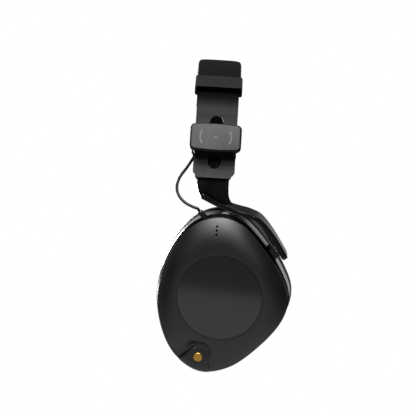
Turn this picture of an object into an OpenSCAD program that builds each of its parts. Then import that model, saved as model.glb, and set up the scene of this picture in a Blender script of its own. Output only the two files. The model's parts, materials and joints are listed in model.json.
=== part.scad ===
// Over-ear monitoring headset with a flat sprung headband, two sliding one-arm yokes
// and two closed ear cups.
//
// Frame: millimetres, +Z up, +X towards the wearer's left ear, +Y towards the back of the head.
// The origin is the underside of the crown pad, where the headset rests on the head.
// Left-hand parts are modelled and right-hand parts are their mirror images in X. Only the left
// cup is wired: it has the cable socket and the short lead up to its arm.

/* [Headband] */
// Width of the spring band, front to back
band_w = 27; // [24:0.5:28]
// Thickness of the spring band
band_t = 1.2; // [1:0.1:1.4]
// Radius of the band over the crown, at mid thickness
crown_r = 104; // [100:1:108]
// Angle from the vertical at which the crown arc ends
crown_end = 40; // [38:1:42]
// Radius of the band at the shoulders, at mid thickness
shoulder_r = 25; // [22:1:30]
// Splay of the straight legs from the vertical
leg_tilt = 9; // [7:0.5:11]
// Length of the straight part of each leg
leg_len = 41; // [40:0.5:44]
// Size of the cut corners at the bottom of each leg
leg_corner = 4; // [2:0.5:5]

/* [Slot and lock] */
// Width of the slot in each leg
slot_w = 8.4; // [8.2:0.1:9]
// Height of the lower end of the slot above the end of the leg
slot_low = 6; // [5:0.5:8]
// Height of the upper end of the slot above the end of the leg
slot_high = 41; // [38:0.5:44]
// Height of the lock bolt above the end of the leg, as drawn
lock_height = 24.4; // [20:0.2:28]
// Diameter of the bolt's shank in the slot
shank_d = 8; // [7.6:0.1:8.1]
// Diameter of the bolt's neck that the knob turns on
neck_d = 5; // [4:0.5:6]
// Length of the lock knob
knob_l = 33; // [30:0.5:36]
// Height of the lock knob
knob_h = 17.5; // [16:0.5:19]
// Radius of the knob's corners
knob_corner = 3; // [2:0.5:4]

/* [Crown pad] */
// Width of the crown pad
pad_w = 28.5; // [28:0.5:30]
// Height of the padded cover above the band
cover_h = 2.8; // [2:0.1:4]
// Depth of the cushion below the band at the crown
cushion_deep = 12; // [9:0.5:14]
// Depth of the cushion below the band at its ends
cushion_thin = 6.5; // [5:0.5:8]

/* [Collars] */
// Width of each collar
collar_w = 31; // [30:0.5:32]
// Height of each collar above the band
collar_rise = 4.2; // [3:0.1:5]
// Depth of each collar below the band
collar_drop = 1.9; // [1.5:0.1:2.5]
// Angle from the vertical at which each collar starts
collar_start = 32.7; // [32.6:0.1:34]
// Angle from the vertical at which each collar ends
collar_end = 39.8; // [39:0.1:40]

/* [Arms] */
// Width of the arm's strip behind the leg
strip_w = 20.5; // [18:0.5:22]
// Thickness of the arm's strip
strip_t = 3; // [2.6:0.1:3.2]
// Thickness of the arm's bar round the cup
bar_t = 2.6; // [2.2:0.1:2.8]

/* [Ear cups] */
// Toe-in of each cup towards the face
cup_yaw = 7; // [3:1:10]
// Tilt of each cup towards the jaw
cup_pitch = 11; // [8:1:13]
// Height of the face of the shell above its edge
dome_h = 8.6; // [7:0.2:10]
// Diameter of the round inlay
inlay_d = 55; // [50:1:55]
// Depth of the ear cushion
ear_deep = 22.4; // [18:0.2:24]
// Angle of the tilt pin round the cup, from straight back
pivot_angle = 41; // [40:0.5:42]
// Diameter of the tilt pin
pin_d = 3.2; // [3:0.1:3.4]
// Diameter of the socket's bore
jack_d = 3.6; // [3.5:0.05:3.7]
// Depth of the socket's bore
jack_deep = 14; // [12:0.5:16]

/* [Lead] */
// Diameter of the short lead
lead_d = 1.9; // [1.6:0.1:2.2]

/* [Hidden] */
$fn = 48;
left = 1;
right = -1;
through = 60; // length of a cutter that passes right through
join = 0.05; // overlap that joins two solids of one piece
fit = 0.05; // radial running clearance

// ---- headband lines ----
band_top = cushion_deep + band_t / 2; // height of the band's mid thickness at the crown
crown_z = band_top - crown_r; // height of the crown arc's centre
pad_end = collar_start; // angle at which the pad runs into the collar
leg_angle = 90 - leg_tilt; // angle of the band's direction below the horizontal, on the leg
shoulder_x = (crown_r - shoulder_r) * sin(crown_end);
shoulder_z = crown_z + (crown_r - shoulder_r) * cos(crown_end);
leg_top_x = shoulder_x + shoulder_r * sin(leg_angle);
leg_top_z = shoulder_z + shoulder_r * cos(leg_angle);
leg_x = leg_top_x + leg_len * sin(leg_tilt);
leg_z = leg_top_z - leg_len * cos(leg_tilt);
band_in = crown_r - band_t / 2; // inner radius of the band at the crown
band_out = crown_r + band_t / 2; // outer radius of the band at the crown

// ---- lock stack, as distances outward from the leg's mid thickness ----
face = band_t / 2; // outer face of the band
carriage_in = face + 0.2;
carriage_out = 6;
knob_in = 6.4;
knob_bevel = 10.9;
knob_out = 11.7;
cap_out = 12.3;
cap_inset = 1.1; // bevel between the knob's side and its face
pad_out = -face - 0.05;
pad_in = -1.2;
guide_in = -2.2;
strip_in = guide_in - strip_t;
head_in = strip_in - 2.2; // inner end of the bolt's head
head_d = 12; // diameter of the bolt's head
key_d = 5.2; // width of the key hole in the bolt's head
carriage_w = 30.5;
carriage_up = 8.4;
carriage_down = 9.8;
lip_gap = 0.2; // side play of the band between the guide's lips
clip_at = 9.2;
clip_t = 0.8;

// ---- ear cup levels, outward along the cup's axis from the shell's edge ----
cup_place = [77, 9.6, -142.3];
rim_low = -1.5;
ring_high = -1.8;
ring_low = -7;
housing_high = -7.4;
housing_wide = -11.5;
housing_low = -14;
baffle_high = -11.4;
baffle_low = -13.4;
shell_t = 2;
lean = [0.1, 3]; // shift of the rear housing from the shell: it stands a little higher
dome_edge = 1.2; // level of the dome's crisp edge
edge_in = 0.4; // distance of that edge inside the outline
foot_rise = [0, 0.9]; // shift of the shell's foot and the trim ring's upper edge
ring_lean = lean * 0.7; // shift of the trim ring's lower edge
pivot_level = (rim_low + housing_high) / 2;
block_w = 6.6;
block_h = rim_low - housing_high;
bar_at_pin = 47.3; // distance of the bar's inner face from the cup's axis, at the pin
pin_start = 34.4; // distance of the pin's inner end from the cup's axis
pin_clip_at = 35.2;
block_flange_at = 36.1;
block_at = 37;
block_end = 45.8;

// Outline of the shell's edge, seen from outside, counter-clockwise from the back
shell_points = [
    [43, 1], [37.2, 17], [26.5, 32.5], [12, 47], [-4, 51], [-21, 43.5], [-35, 23.5],
    [-41.5, 1], [-39.1, -22], [-29.4, -41.4], [-12.2, -52], [7.2, -48.1], [24.8, -34.1], [38.8, -16.3],
];
curve_steps = 4;

// Top line of the bar's front edge, across the cup from front to back
bar_front = [[-14.5, 65.2], [-4, 60.2], [6, 56.4], [17, 53.2], [24, 49.6], [32, 40], [41, 26]];
bar_front_level = -1;
bar_back_level = -11;
bar_slant = 14; // slope of the bar's broad face, rising towards the back
bar_steps = 4;

// Route of the lead on the left side, from the gland to the cup
lead_route = [
    [75.4, -13, -53.5], [75.3, -14, -55.7], [75.6, -17.6, -61.8], [76.6, -21.6, -68],
    [78.2, -23.1, -74], [80, -21.7, -79.6], [82, -17.4, -84.1], [83.5, -12.3, -86.6],
    [83.95, -9.03, -87.63], [83.8, -7.5, -89.2],
];
lead_sides = 8;
lead_steps = 2;
lead_r = lead_d / 2;
relief_d = lead_d * 2; // diameter of the sleeve at the cup

// ---------------------------------------------------------------- helpers

function unit(v) = v / norm(v);
function mix(a, b, t) = a + (b - a) * t;

// Point between b and c on the smooth curve through a, b, c and d
function bend(a, b, c, d, t) =
    (2 * b + (c - a) * t + (2 * a - 5 * b + 4 * c - d) * t * t + (3 * b - a - 3 * c + d) * t * t * t) / 2;

// Smooth closed curve through the points
function closed_curve(p, steps) = [
    for (i = [0 : len(p) - 1], k = [0 : steps - 1])
        bend(p[(i + len(p) - 1) % len(p)], p[i], p[(i + 1) % len(p)], p[(i + 2) % len(p)], k / steps)
];

// Smooth open curve through the points, with straight ends
function open_curve(p, steps) = concat([
    for (i = [0 : len(p) - 2], k = [0 : steps - 1])
        bend(i == 0 ? 2 * p[0] - p[1] : p[i - 1], p[i], p[i + 1],
             i == len(p) - 2 ? 2 * p[i + 1] - p[i] : p[i + 2], k / steps)
], [p[len(p) - 1]]);

// Outline moved outwards by a distance
function grow(p, d) = [
    for (i = [0 : len(p) - 1])
        let (t = unit(p[(i + 1) % len(p)] - p[(i + len(p) - 1) % len(p)])) p[i] + d * [t[1], -t[0]]
];

// Open line moved sideways by a distance, to the left of its own direction
function grow_open(p, d) = [
    for (i = [0 : len(p) - 1])
        let (t = unit(p[min(i + 1, len(p) - 1)] - p[max(i - 1, 0)])) p[i] + d * [-t[1], t[0]]
];

function shift(p, by) = [for (q = p) q + by];
function at_level(p, z) = [for (q = p) [q[0], q[1], z]];

// Corners of a rectangle with round corners, centred
function round_rect(w, h, r, steps = 4) = [
    for (c = [[1, -1, -90], [1, 1, 0], [-1, 1, 90], [-1, -1, 180]], k = [0 : steps])
        let (a = c[2] + 90 * k / steps)
            [c[0] * (w / 2 - r) + r * cos(a), c[1] * (h / 2 - r) + r * sin(a)]
];

// Solid through a stack of rings of equal count. A looped stack closes on itself.
module loft(rings, looped = false) {
    m = len(rings[0]);
    n = len(rings);
    sides = [
        for (i = [0 : looped ? n - 1 : n - 2], j = [0 : m - 1])
            let (k = (j + 1) % m, up = ((i + 1) % n) * m) [i * m + j, up + j, up + k, i * m + k]
    ];
    ends = looped ? [] : [[for (j = [0 : m - 1]) j], [for (j = [m - 1 : -1 : 0]) (n - 1) * m + j]];
    polyhedron([for (r = rings) each r], concat(sides, ends), convexity = 6);
}

module on_side(side) {
    if (side == right)
        mirror([1, 0, 0]) children();
    else
        children();
}

// Leg frame: X outward from the band, Y to the back, Z up the leg, origin at the leg's end
module on_leg() {
    translate([leg_x, 0, leg_z]) rotate([0, -leg_tilt, 0]) children();
}

module on_lock() {
    on_leg() translate([0, 0, lock_height]) children();
}

// Plate square to the leg frame's X axis, drawn as seen from outside
module leg_plate(x0, x1) {
    translate([x0, 0, 0]) rotate([90, 0, 90]) linear_extrude(x1 - x0) children();
}

module leg_rod(x0, x1, d) {
    translate([x0, 0, 0]) rotate([0, 90, 0]) cylinder(h = x1 - x0, d = d);
}

// Cup frame: X to the back, Y up, Z outward, origin at the centre of the shell's edge
module on_cup() {
    translate(cup_place) rotate([0, cup_pitch, -cup_yaw]) rotate([90, 0, 90]) children();
}

// Puts what is placed in the headset's frame into the cup frame
module off_cup() {
    rotate([-90, 0, 0]) rotate([0, 0, -90]) rotate([0, -cup_pitch, 0]) rotate([0, 0, cup_yaw])
        translate(-cup_place) children();
}

// Pin frame: Z along the tilt pin, away from the cup's axis
module on_pin() {
    on_cup() translate([0, 0, pivot_level]) rotate([0, 90, pivot_angle]) children();
}

// Frame on the crown arc: the profile's X is the distance from the arc's centre
module crown_sweep(a0, a1) {
    translate([0, 0, crown_z]) rotate([90, 0, 0]) rotate([0, 0, 90 - a1])
        rotate_extrude(angle = a1 - a0, $fn = 180) children();
}

// ---------------------------------------------------------------- headband

function arc_points(cx, cz, r, a0, a1, steps) =
    [for (k = [0 : steps]) let (a = a0 + (a1 - a0) * k / steps) [cx + r * sin(a), cz + r * cos(a)]];

// Side line of the left half of the band, offset outwards from mid thickness
function half_band(off) = concat(
    arc_points(0, crown_z, crown_r + off, 0, crown_end, 12),
    arc_points(shoulder_x, shoulder_z, shoulder_r + off, crown_end + 5, leg_angle, 8),
    [[leg_x + off * cos(leg_tilt), leg_z + off * sin(leg_tilt)]]
);

function mirrored(p) = [for (i = [len(p) - 1 : -1 : 1]) [-p[i][0], p[i][1]]];

module band_side() {
    outer = concat(mirrored(half_band(band_t / 2)), half_band(band_t / 2));
    inner = concat(mirrored(half_band(-band_t / 2)), half_band(-band_t / 2));
    polygon(concat(outer, [for (i = [len(inner) - 1 : -1 : 0]) inner[i]]));
}

module slot_cutter() {
    on_leg() {
        leg_plate(-through / 4, through / 4)
            translate([-slot_w / 2, slot_low + slot_w / 2]) square([slot_w, slot_high - slot_low - slot_w]);
        for (z = [slot_low + slot_w / 2, slot_high - slot_w / 2])
            translate([0, 0, z]) leg_rod(-through / 4, through / 4, slot_w);
    }
}

module corner_cutter() {
    on_leg() for (side = [-1, 1])
        leg_plate(-through / 4, through / 4)
            polygon([
                [side * (band_w / 2 - leg_corner), -join * 4],
                [side * (band_w / 2 - leg_corner * 0.38), leg_corner * 0.42],
                [side * (band_w / 2 + join * 4), leg_corner],
                [side * (band_w / 2 + 1), -join * 4],
            ]);
}

collar_mid = (collar_start + collar_end) / 2;
screw_out = 6.5; // distance of the collar screws from the middle of the band

module collar_screw_places() {
    for (side = [-1, 1], y = [-screw_out, screw_out])
        translate([0, 0, crown_z]) rotate([0, side * collar_mid, 0]) translate([0, y, 0]) children();
}

module headband_spring() {
    color("#3c3c3e") difference() {
        rotate([90, 0, 0]) linear_extrude(band_w, center = true) band_side();
        for (side = [left, right]) on_side(side) {
            slot_cutter();
            corner_cutter();
        }
        collar_screw_places() translate([0, 0, band_in - 3]) cylinder(h = 6, d = 2.4);
    }
}

// Padded cover over the band: soft top with skirts down both edges
function cover_profile() = let (
    top = band_out + cover_h,
    a = pad_w / 2,
    soft = [for (k = [0 : 12]) let (t = 180 * k / 12, s = sin(t), c = cos(t))
        [band_out + 0.4 + (cover_h - 0.4) * pow(s, 0.5), a * sign(c) * pow(abs(c), 0.45)]]
) concat(soft, [[band_in - 0.6, -a], [band_in - 0.6, -a + 0.6], [band_out, -a + 0.6],
                [band_out, a - 0.6], [band_in - 0.6, a - 0.6], [band_in - 0.6, a]]);

module crown_cover() {
    color("#1b1b1d") crown_sweep(-pad_end, pad_end) polygon(cover_profile());
}

// Section of the crown cushion at an angle from the vertical
function cushion_ring(a) = let (
    k = a / pad_end,
    deep = mix(cushion_deep, cushion_thin, pow(abs(k), 2.4)),
    half = pad_w / 2 - 0.7 * pow(abs(k), 6),
    top = band_in - 0.6,
    flat = [for (t = [180 : -12 : 0]) let (s = sin(t), c = cos(t))
        [half * sign(c) * pow(abs(c), 0.6), top - (deep - 0.6) * pow(s, 0.6)]]
) [for (q = flat) [q[1] * sin(a), q[0], crown_z + q[1] * cos(a)]];

module crown_cushion() {
    color("#19191b") loft([for (a = [pad_end : -pad_end / 12 : -pad_end - join]) cushion_ring(a)]);
}

module collar() {
    inside = band_in - collar_drop;
    outside = band_out + collar_rise;
    color("#2a2a2c") difference() {
        crown_sweep(collar_start, collar_end)
            translate([(inside + outside) / 2, 0]) polygon(round_rect(outside - inside, collar_w, 1.4));
        crown_sweep(collar_start - 2, collar_end + 2)
            translate([band_in - 0.1, -band_w / 2 - 0.15]) square([band_t + 0.2, band_w + 0.3]);
        collar_screw_places() {
            translate([0, 0, band_in - 4]) cylinder(h = 4 + band_t + 2.4, d = 2.1);
            translate([0, 0, inside - 2]) cylinder(h = 3, d = 4.2);
        }
    }
}

module collar_screws() {
    seat = band_in - collar_drop + 1;
    color("silver") collar_screw_places() difference() {
        union() {
            translate([0, 0, seat - 0.9]) cylinder(h = 0.9, d = 3.8);
            translate([0, 0, seat - join]) cylinder(h = band_out + 2 - seat, d = 2);
        }
        translate([0, 0, seat - 1.2]) cylinder(h = 0.8, d = 1.6, $fn = 6);
    }
}

// ---------------------------------------------------------------- slide and lock

module carriage_outline() {
    w = carriage_w / 2;
    polygon([
        [-w + 1.6, carriage_up], [-w, carriage_up - 1.6], [-w, -carriage_down + 6],
        [-w + 2.2, -carriage_down + 0.6], [-w + 3.4, -carriage_down],
        [w - 3.4, -carriage_down], [w - 2.2, -carriage_down + 0.6],
        [w, -carriage_down + 6], [w, carriage_up - 1.6], [w - 1.6, carriage_up],
    ]);
}

module carriage() {
    color("#0e0e0f") on_lock() difference() {
        leg_plate(carriage_in, carriage_out) carriage_outline();
        leg_rod(-1, through / 4, shank_d + 2 * fit);
    }
}

module inner_guide() {
    edge = band_w / 2 + lip_gap;
    color("#151516") on_lock() difference() {
        leg_plate(guide_in, carriage_in) carriage_outline();
        leg_plate(pad_in, carriage_in + 1) translate([-edge, -through / 2]) square([2 * edge, through]);
        leg_rod(-through / 4, through / 4, shank_d + 2 * fit);
    }
}

module friction_pad() {
    color("#d8d5c8") on_lock() difference() {
        leg_plate(pad_in, pad_out)
            translate([-strip_w / 2, -carriage_down + 1])
                square([strip_w, carriage_up + carriage_down - 2]);
        leg_rod(-through / 4, through / 4, shank_d + 2 * fit);
    }
}

module lock_bolt() {
    color("#b9bcc0") on_lock() difference() {
        union() {
            leg_rod(head_in, strip_in, head_d);
            leg_rod(strip_in - join, carriage_out, shank_d);
            leg_rod(carriage_out - join, knob_bevel, neck_d);
        }
        leg_rod(head_in - 1, head_in + 1.2, key_d);
        difference() {
            leg_rod(clip_at, clip_at + clip_t, neck_d + 2);
            leg_rod(clip_at - 1, clip_at + clip_t + 1, neck_d - 1);
        }
    }
}

module lock_clip() {
    color("#8d9094") on_lock() difference() {
        leg_rod(clip_at, clip_at + clip_t, neck_d + 3);
        leg_rod(clip_at - 1, clip_at + clip_t + 1, neck_d - 0.9);
        leg_plate(clip_at - 1, clip_at + clip_t + 1)
            translate([-1.5, 0]) square([3, neck_d * 2]);
    }
}

// Ring of the knob at a distance outward, drawn in by an inset
function knob_ring(x, inset) = [
    for (q = round_rect(knob_l - 2 * inset, knob_h - 2 * inset, knob_corner - inset * 0.6)) [x, q[0], q[1]]
];

module lock_knob() {
    color("#101011") on_lock() difference() {
        loft([
            knob_ring(knob_in, 0.7), knob_ring(knob_in + 0.6, 0.1), knob_ring(knob_in + 1.6, 0),
            knob_ring(knob_bevel, 0), knob_ring(knob_out - 0.25, 0.45), knob_ring(knob_out, cap_inset),
        ]);
        leg_rod(knob_in - 1, knob_out + 1, neck_d + 2 * fit);
        leg_rod(clip_at - 0.3, knob_out + 1, neck_d + 4);
    }
}

module knob_cap() {
    color("#565658") on_lock()
        loft([
            knob_ring(knob_out, cap_inset + 0.05), knob_ring(cap_out - 0.3, cap_inset + 0.05),
            knob_ring(cap_out, cap_inset + 0.35),
        ]);
}

// ---------------------------------------------------------------- arm

// Top line of the bar's front edge, as seen along the bar's own slant
function on_slant(p) = [for (q = p) [q[0], q[1] * cos(bar_slant) + bar_front_level * sin(bar_slant)]];

bar_top = on_slant(open_curve(bar_front, bar_steps));
bar_under = grow_open(bar_top, -bar_t);

// Prism through the bar's outline, slanted so that its back edge stands further out
module bar_prism() {
    n = len(bar_top);
    rotate([bar_slant, 0, 0]) translate([0, 0, -through / 2])
        linear_extrude(through) polygon(concat(bar_top, [for (i = [n - 1 : -1 : 0]) bar_under[i]]));
}

// Space that the bar fills, seen from above: its back edge meets the strip's plane
module bar_depth() {
    translate([0, through * 1.5, 0]) rotate([90, 0, 0]) linear_extrude(through * 1.5)
        polygon([[-30, bar_front_level], [60, bar_front_level], [60, bar_back_level],
                 [14, bar_back_level], [4, -9.4], [-30, -6.4]]);
}

module arm_bar() {
    on_cup() intersection() {
        bar_prism();
        bar_depth();
    }
}

// Strip behind the leg, with its lower edge along the bar
module arm_strip() {
    w = strip_w / 2;
    on_leg() leg_plate(strip_in, guide_in)
        polygon([
            [-w + 1.5, lock_height + carriage_up - 1], [-w, lock_height + carriage_up - 2.5],
            [-w, -4], [-w + 1.4, -9.5], [-w + 3, -12.4], [0, -14.6], [w, -15.8], [w + 6, -17],
            [w + 2.6, -14.2], [w + 0.8, -12], [w, -9],
            [w, lock_height + carriage_up - 2.5], [w - 1.5, lock_height + carriage_up - 1],
        ]);
}

module arm() {
    color("#0c0c0d") difference() {
        union() {
            arm_bar();
            arm_strip();
        }
        on_lock() leg_rod(-through / 4, through / 4, shank_d + 2 * fit);
        on_pin() cylinder(h = through, d = pin_d);
    }
}

// ---------------------------------------------------------------- tilt pin

module pivot_pin() {
    color("#c3c6ca") on_pin() difference() {
        translate([0, 0, pin_start]) cylinder(h = bar_at_pin + bar_t - 0.4 - pin_start, d = pin_d);
        translate([0, 0, pin_clip_at]) difference() {
            cylinder(h = clip_t, d = pin_d + 2);
            translate([0, 0, -1]) cylinder(h = 3, d = pin_d - 0.8);
        }
    }
}

module pivot_clip() {
    color("#8d9094") on_pin() translate([0, 0, pin_clip_at]) difference() {
        cylinder(h = clip_t, d = pin_d + 3);
        translate([0, 0, -1]) cylinder(h = 3, d = pin_d - 0.7);
        translate([0, -1, -1]) cube([pin_d * 2, 2, 3]);
    }
}

module pivot_block() {
    color("#131314") on_pin() difference() {
        union() {
            translate([-block_h / 2, -block_w / 2, block_at]) cube([block_h, block_w, block_end - block_at]);
            translate([-block_h / 2 - 0.8, -block_w / 2 - 1.6, block_flange_at])
                cube([block_h + 1.6, block_w + 3.2, 1.6]);
        }
        cylinder(h = through, d = pin_d + 2 * fit);
    }
}

// ---------------------------------------------------------------- ear cup shells

outline = closed_curve(shell_points, curve_steps);
disc_line = [for (q = outline) unit(q) * (inlay_d / 2 + 0.7)];
inner_disc = [for (q = outline) unit(q) * (inlay_d / 2 - 4)];

// Ring of the dome: from the flat face at 0 out to the edge at 1
function dome_ring(t, drop, inset) = let (
    line = grow(outline, -edge_in - inset),
    h = mix(dome_h, dome_edge, pow(t, 2.1)) - drop
) [for (i = [0 : len(line) - 1]) let (q = mix(disc_line[i], line[i], t)) [q[0], q[1], h]];

inlay_sunk = 0.8; // depth of the recess that holds the inlay
vent_across = -3.7;
vent_heights = [40.6, 43.1, 45.6];
vent_d = 1.5;
screw_places = [[22, 19], [-21, 22], [-23, -21], [20, -22]];
socket_place = [-13.5, -3.2]; // across and outward position of the socket's axis
socket_d = 10.4;
socket_gap = socket_d + 0.8; // width of the gap in the trim ring for the socket
socket_mouth = -52.8; // height of the socket's mouth in the cup frame
stud_place = [-13, -41.6];
stud_d = 6;
boss_r = 6.8; // radius of the boss round the stud
boss_top = 5.1; // level of the boss's flat top
well_level = boss_top - 0.9; // floor of the well that holds the stud

module socket_rod(y0, y1, d) {
    translate([socket_place[0], y1, socket_place[1]]) rotate([90, 0, 0]) cylinder(h = y1 - y0, d = d);
}

// Arc round the stud, from one angle to another
function boss_arc(r, a0, a1) =
    [for (k = [0 : 12]) let (a = mix(a0, a1, k / 12)) stud_place + r * [cos(a), sin(a)]];

// Boss over the socket: round at the top, and running out to the shell's edge below
module boss() {
    intersection() {
        translate([0, 0, rim_low])
            linear_extrude(boss_top - rim_low)
                polygon(concat(
                    boss_arc(boss_r, 0, 135),
                    [stud_place + [-12.8, -3.2], stud_place + [-12.8, -15], stud_place + [boss_r, -15]]
                ));
        loft([
            at_level(grow(outline, 0.2), rim_low), at_level(outline, boss_top - 3.6),
            at_level(grow(outline, -0.6), boss_top - 1.9), at_level(grow(outline, -1.8), boss_top - 0.6),
            at_level(grow(outline, -3.4), boss_top + 0.05),
        ]);
    }
    translate([0, 0, rim_low]) linear_extrude(boss_top - rim_low) polygon(boss_arc(boss_r + 1.8, 28, 152));
}

// Hollow that brings the dome down to the boss
module boss_hollow() {
    translate([stud_place[0], stud_place[1], boss_top])
        cylinder(h = dome_h, r1 = boss_r, r2 = boss_r + dome_h * 1.2);
}

module outer_shell(wired = false) {
    color("#232325") on_cup() difference() {
        union() {
            difference() {
                loft(concat(
                    [at_level(inner_disc, dome_h - shell_t)],
                    [for (t = [0, 0.4, 0.75, 0.95]) dome_ring(t, shell_t, shell_t)],
                    [at_level(grow(outline, -shell_t), rim_low)],
                    [at_level(shift(grow(outline, 0.3), foot_rise), rim_low)],
                    [at_level(grow(outline, -0.1), dome_edge - 0.5)],
                    [for (t = [1, 0.92, 0.8, 0.64, 0.46, 0.26, 0.12]) dome_ring(t, 0, 0)],
                    [at_level(disc_line, dome_h)]
                ));
                if (wired) boss_hollow();
            }
            for (q = screw_places) translate([q[0], q[1], baffle_high]) cylinder(h = 18.4, d = 5.6);
            if (wired) boss();
        }
        translate([0, 0, dome_h - inlay_sunk]) cylinder(h = 4, d = inlay_d + 0.2);
        for (q = screw_places) translate([q[0], q[1], baffle_high - 1]) cylinder(h = 12, d = 2.1);
        for (y = vent_heights) translate([vent_across, y, -2]) cylinder(h = 12, d = vent_d);
        if (wired) {
            translate([stud_place[0], stud_place[1], well_level]) cylinder(h = 4, d = stud_d + 0.6);
            socket_rod(-through, -36, socket_d);
            off_cup() relief_body();
        }
    }
}

module inlay() {
    color("#202022") on_cup() translate([0, 0, dome_h - inlay_sunk])
        cylinder(h = inlay_sunk + 0.1, d = inlay_d);
}

// Ring-shaped wall between an inner and an outer line, closed on itself
module wall(rings) {
    loft(rings, looped = true);
}

module trim_ring(wired = false) {
    color("#9b9ba2") on_cup() difference() {
        wall([
            at_level(shift(grow(outline, -1.6), ring_lean), housing_high),
            at_level(shift(grow(outline, 0.2), ring_lean), housing_high),
            at_level(shift(grow(outline, 0.2), ring_lean), ring_low),
            at_level(shift(grow(outline, 1.2), ring_lean), ring_low),
            at_level(shift(grow(outline, 0.7), foot_rise), ring_high - 0.4),
            at_level(shift(grow(outline, 0.3), foot_rise), ring_high),
            at_level(shift(grow(outline, 0.1), foot_rise), ring_high),
            at_level(shift(grow(outline, 0.1), foot_rise), rim_low),
            at_level(shift(grow(outline, -1.4), foot_rise), rim_low),
        ]);
        rotate([0, 0, pivot_angle])
            translate([36, -block_w / 2 - 0.2, housing_high - 1]) cube([20, block_w + 3.6, block_h + 2]);
        if (wired) {
            translate([socket_place[0] - socket_gap / 2, -through, -through / 2])
                cube([socket_gap, through / 2, through]);
            off_cup() relief_body();
        }
    }
}

module rear_housing(wired = false) {
    color("#2c2c2e") on_cup() difference() {
        wall([
            at_level(shift(grow(outline, -4), lean), housing_low),
            at_level(shift(grow(outline, 0.8), lean), housing_low),
            at_level(shift(grow(outline, 1.6), lean), housing_wide),
            at_level(shift(grow(outline, 1.3), lean), housing_high - 0.5),
            at_level(shift(grow(outline, 0.7), lean), housing_high),
            at_level(shift(grow(outline, -1.6), lean), housing_high),
            at_level(shift(grow(outline, -1.6), lean), baffle_low),
            at_level(shift(grow(outline, -4), lean), baffle_low),
        ]);
        if (wired) socket_rod(-through, -36, socket_d);
    }
}

module baffle() {
    line = shift(grow(outline, -1.9), lean);
    color("#1a1a1c") on_cup() difference() {
        translate([0, 0, baffle_low]) linear_extrude(baffle_high - baffle_low) polygon(line);
        translate([0, 0, -20]) cylinder(h = 20, d = 41);
        for (q = screw_places) translate([q[0], q[1], -20]) cylinder(h = 20, d = 2.3);
        for (q = screw_places) translate([q[0], q[1], baffle_low - 1]) cylinder(h = 2, d = 4.6);
        for (a = [0 : 30 : 330]) rotate([0, 0, a]) translate([24.8, 0, -20]) cylinder(h = 20, d = 2);
    }
}

module shell_screws() {
    color("silver") on_cup() for (q = screw_places) translate([q[0], q[1], 0]) difference() {
        union() {
            translate([0, 0, baffle_low + 0.1]) cylinder(h = 0.9, d = 4.2);
            translate([0, 0, baffle_low + 0.5]) cylinder(h = 9, d = 2);
        }
        translate([0, 0, baffle_low - 0.5]) cylinder(h = 1, d = 1.6, $fn = 6);
    }
}

// ---------------------------------------------------------------- driver

module driver_frame() {
    color("#3a3a3c") on_cup() rotate_extrude()
        polygon([[13, -3.4], [14.4, -3.4], [14.4, -6.4], [20.4, -9.2], [23.4, -9.2], [23.4, baffle_high],
                 [20.3, baffle_high], [20.3, -12.8], [19, -12.8], [19, -10.4], [13, -7.2]]);
}

module driver_magnet() {
    color("#8a8a8e") on_cup() rotate_extrude()
        polygon([[0, -1], [11.5, -1], [13, -2.5], [13, -7.2], [8.4, -9.6], [0, -9.6]]);
}

module driver_diaphragm() {
    color("#c9c2ae") on_cup() rotate_extrude()
        polygon([[0, -12.4], [6, -12], [9, -10.8], [13, -11.9], [17, -12.4], [19, -11.6], [19, -11.9],
                 [17, -12.7], [13, -12.2], [9, -11.1], [6, -12.3], [0, -12.7]]);
}

ear_hole = [for (q = outline) [q[0] * 0.49 + lean[0], q[1] * 0.58 + lean[1]]];

module ear_screen() {
    color("#2e2e31") on_cup() translate([0, 0, baffle_low - 0.5])
        linear_extrude(0.5) polygon(grow(ear_hole, 5));
}

// ---------------------------------------------------------------- ear cushion

cushion_line = shift(grow(outline, 0.7), lean);

// Ring of the cushion at an angle round its section, from the outer base over the crown
function ear_ring(a) = let (
    s = pow(sin(a), 0.83),
    c = sign(cos(a)) * pow(abs(cos(a)), 0.83),
    f = 0.5 + c / 2
) at_level([for (i = [0 : len(outline) - 1]) mix(ear_hole[i], cushion_line[i], f)],
           housing_low - ear_deep * s);

module ear_cushion() {
    color("#1d1d1f") on_cup() wall([for (a = [180 : -12 : 0]) ear_ring(a)]);
}

// ---------------------------------------------------------------- socket and lead

module jack_socket() {
    color("#111112") on_cup() difference() {
        socket_rod(socket_mouth, socket_mouth + 17, socket_d);
        socket_rod(socket_mouth - 1, socket_mouth + jack_deep, jack_d);
    }
}

module socket_stud() {
    color("#c9a24a") on_cup() translate([stud_place[0], stud_place[1], well_level]) {
        cylinder(h = 1.1, d = stud_d);
        translate([0, 0, 1.1 - join]) cylinder(h = 0.3, d1 = stud_d, d2 = stud_d - 0.8);
    }
}

lead_line = concat(
    [lead_route[0]],
    open_curve([for (i = [1 : len(lead_route) - 2]) lead_route[i]], lead_steps),
    [lead_route[len(lead_route) - 1]]
);

// Ring of the lead at a station, in the plane square to the lead there
function lead_ring(i) = let (
    n = len(lead_line),
    t = unit(unit(lead_line[min(i + 1, n - 1)] - lead_line[min(i, n - 2)])
        + unit(lead_line[max(i, 1)] - lead_line[max(i - 1, 0)])),
    a = unit(cross([1, 0, 0], t)),
    b = cross(t, a)
) [
    for (k = [0 : lead_sides - 1])
        let (w = 360 * k / lead_sides) lead_line[i] + lead_r * (a * cos(w) + b * sin(w))
];

module lead() {
    color("#121213") loft([for (i = [0 : len(lead_line) - 1]) lead_ring(i)]);
}

// Z along a direction, from a place
module aim(place, direction) {
    d = unit(direction);
    translate(place) rotate([0, acos(d[2]), atan2(d[1], d[0])]) children();
}

module lead_gland() {
    end = lead_route[0];
    color("#161617") union() {
        aim(end, end - lead_route[1]) cylinder(h = 3, d1 = 2.8, d2 = 3.2);
        on_lock() leg_plate(guide_in - 4.2, guide_in) translate([-15, -8]) square([4.4, 7]);
    }
}

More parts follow.
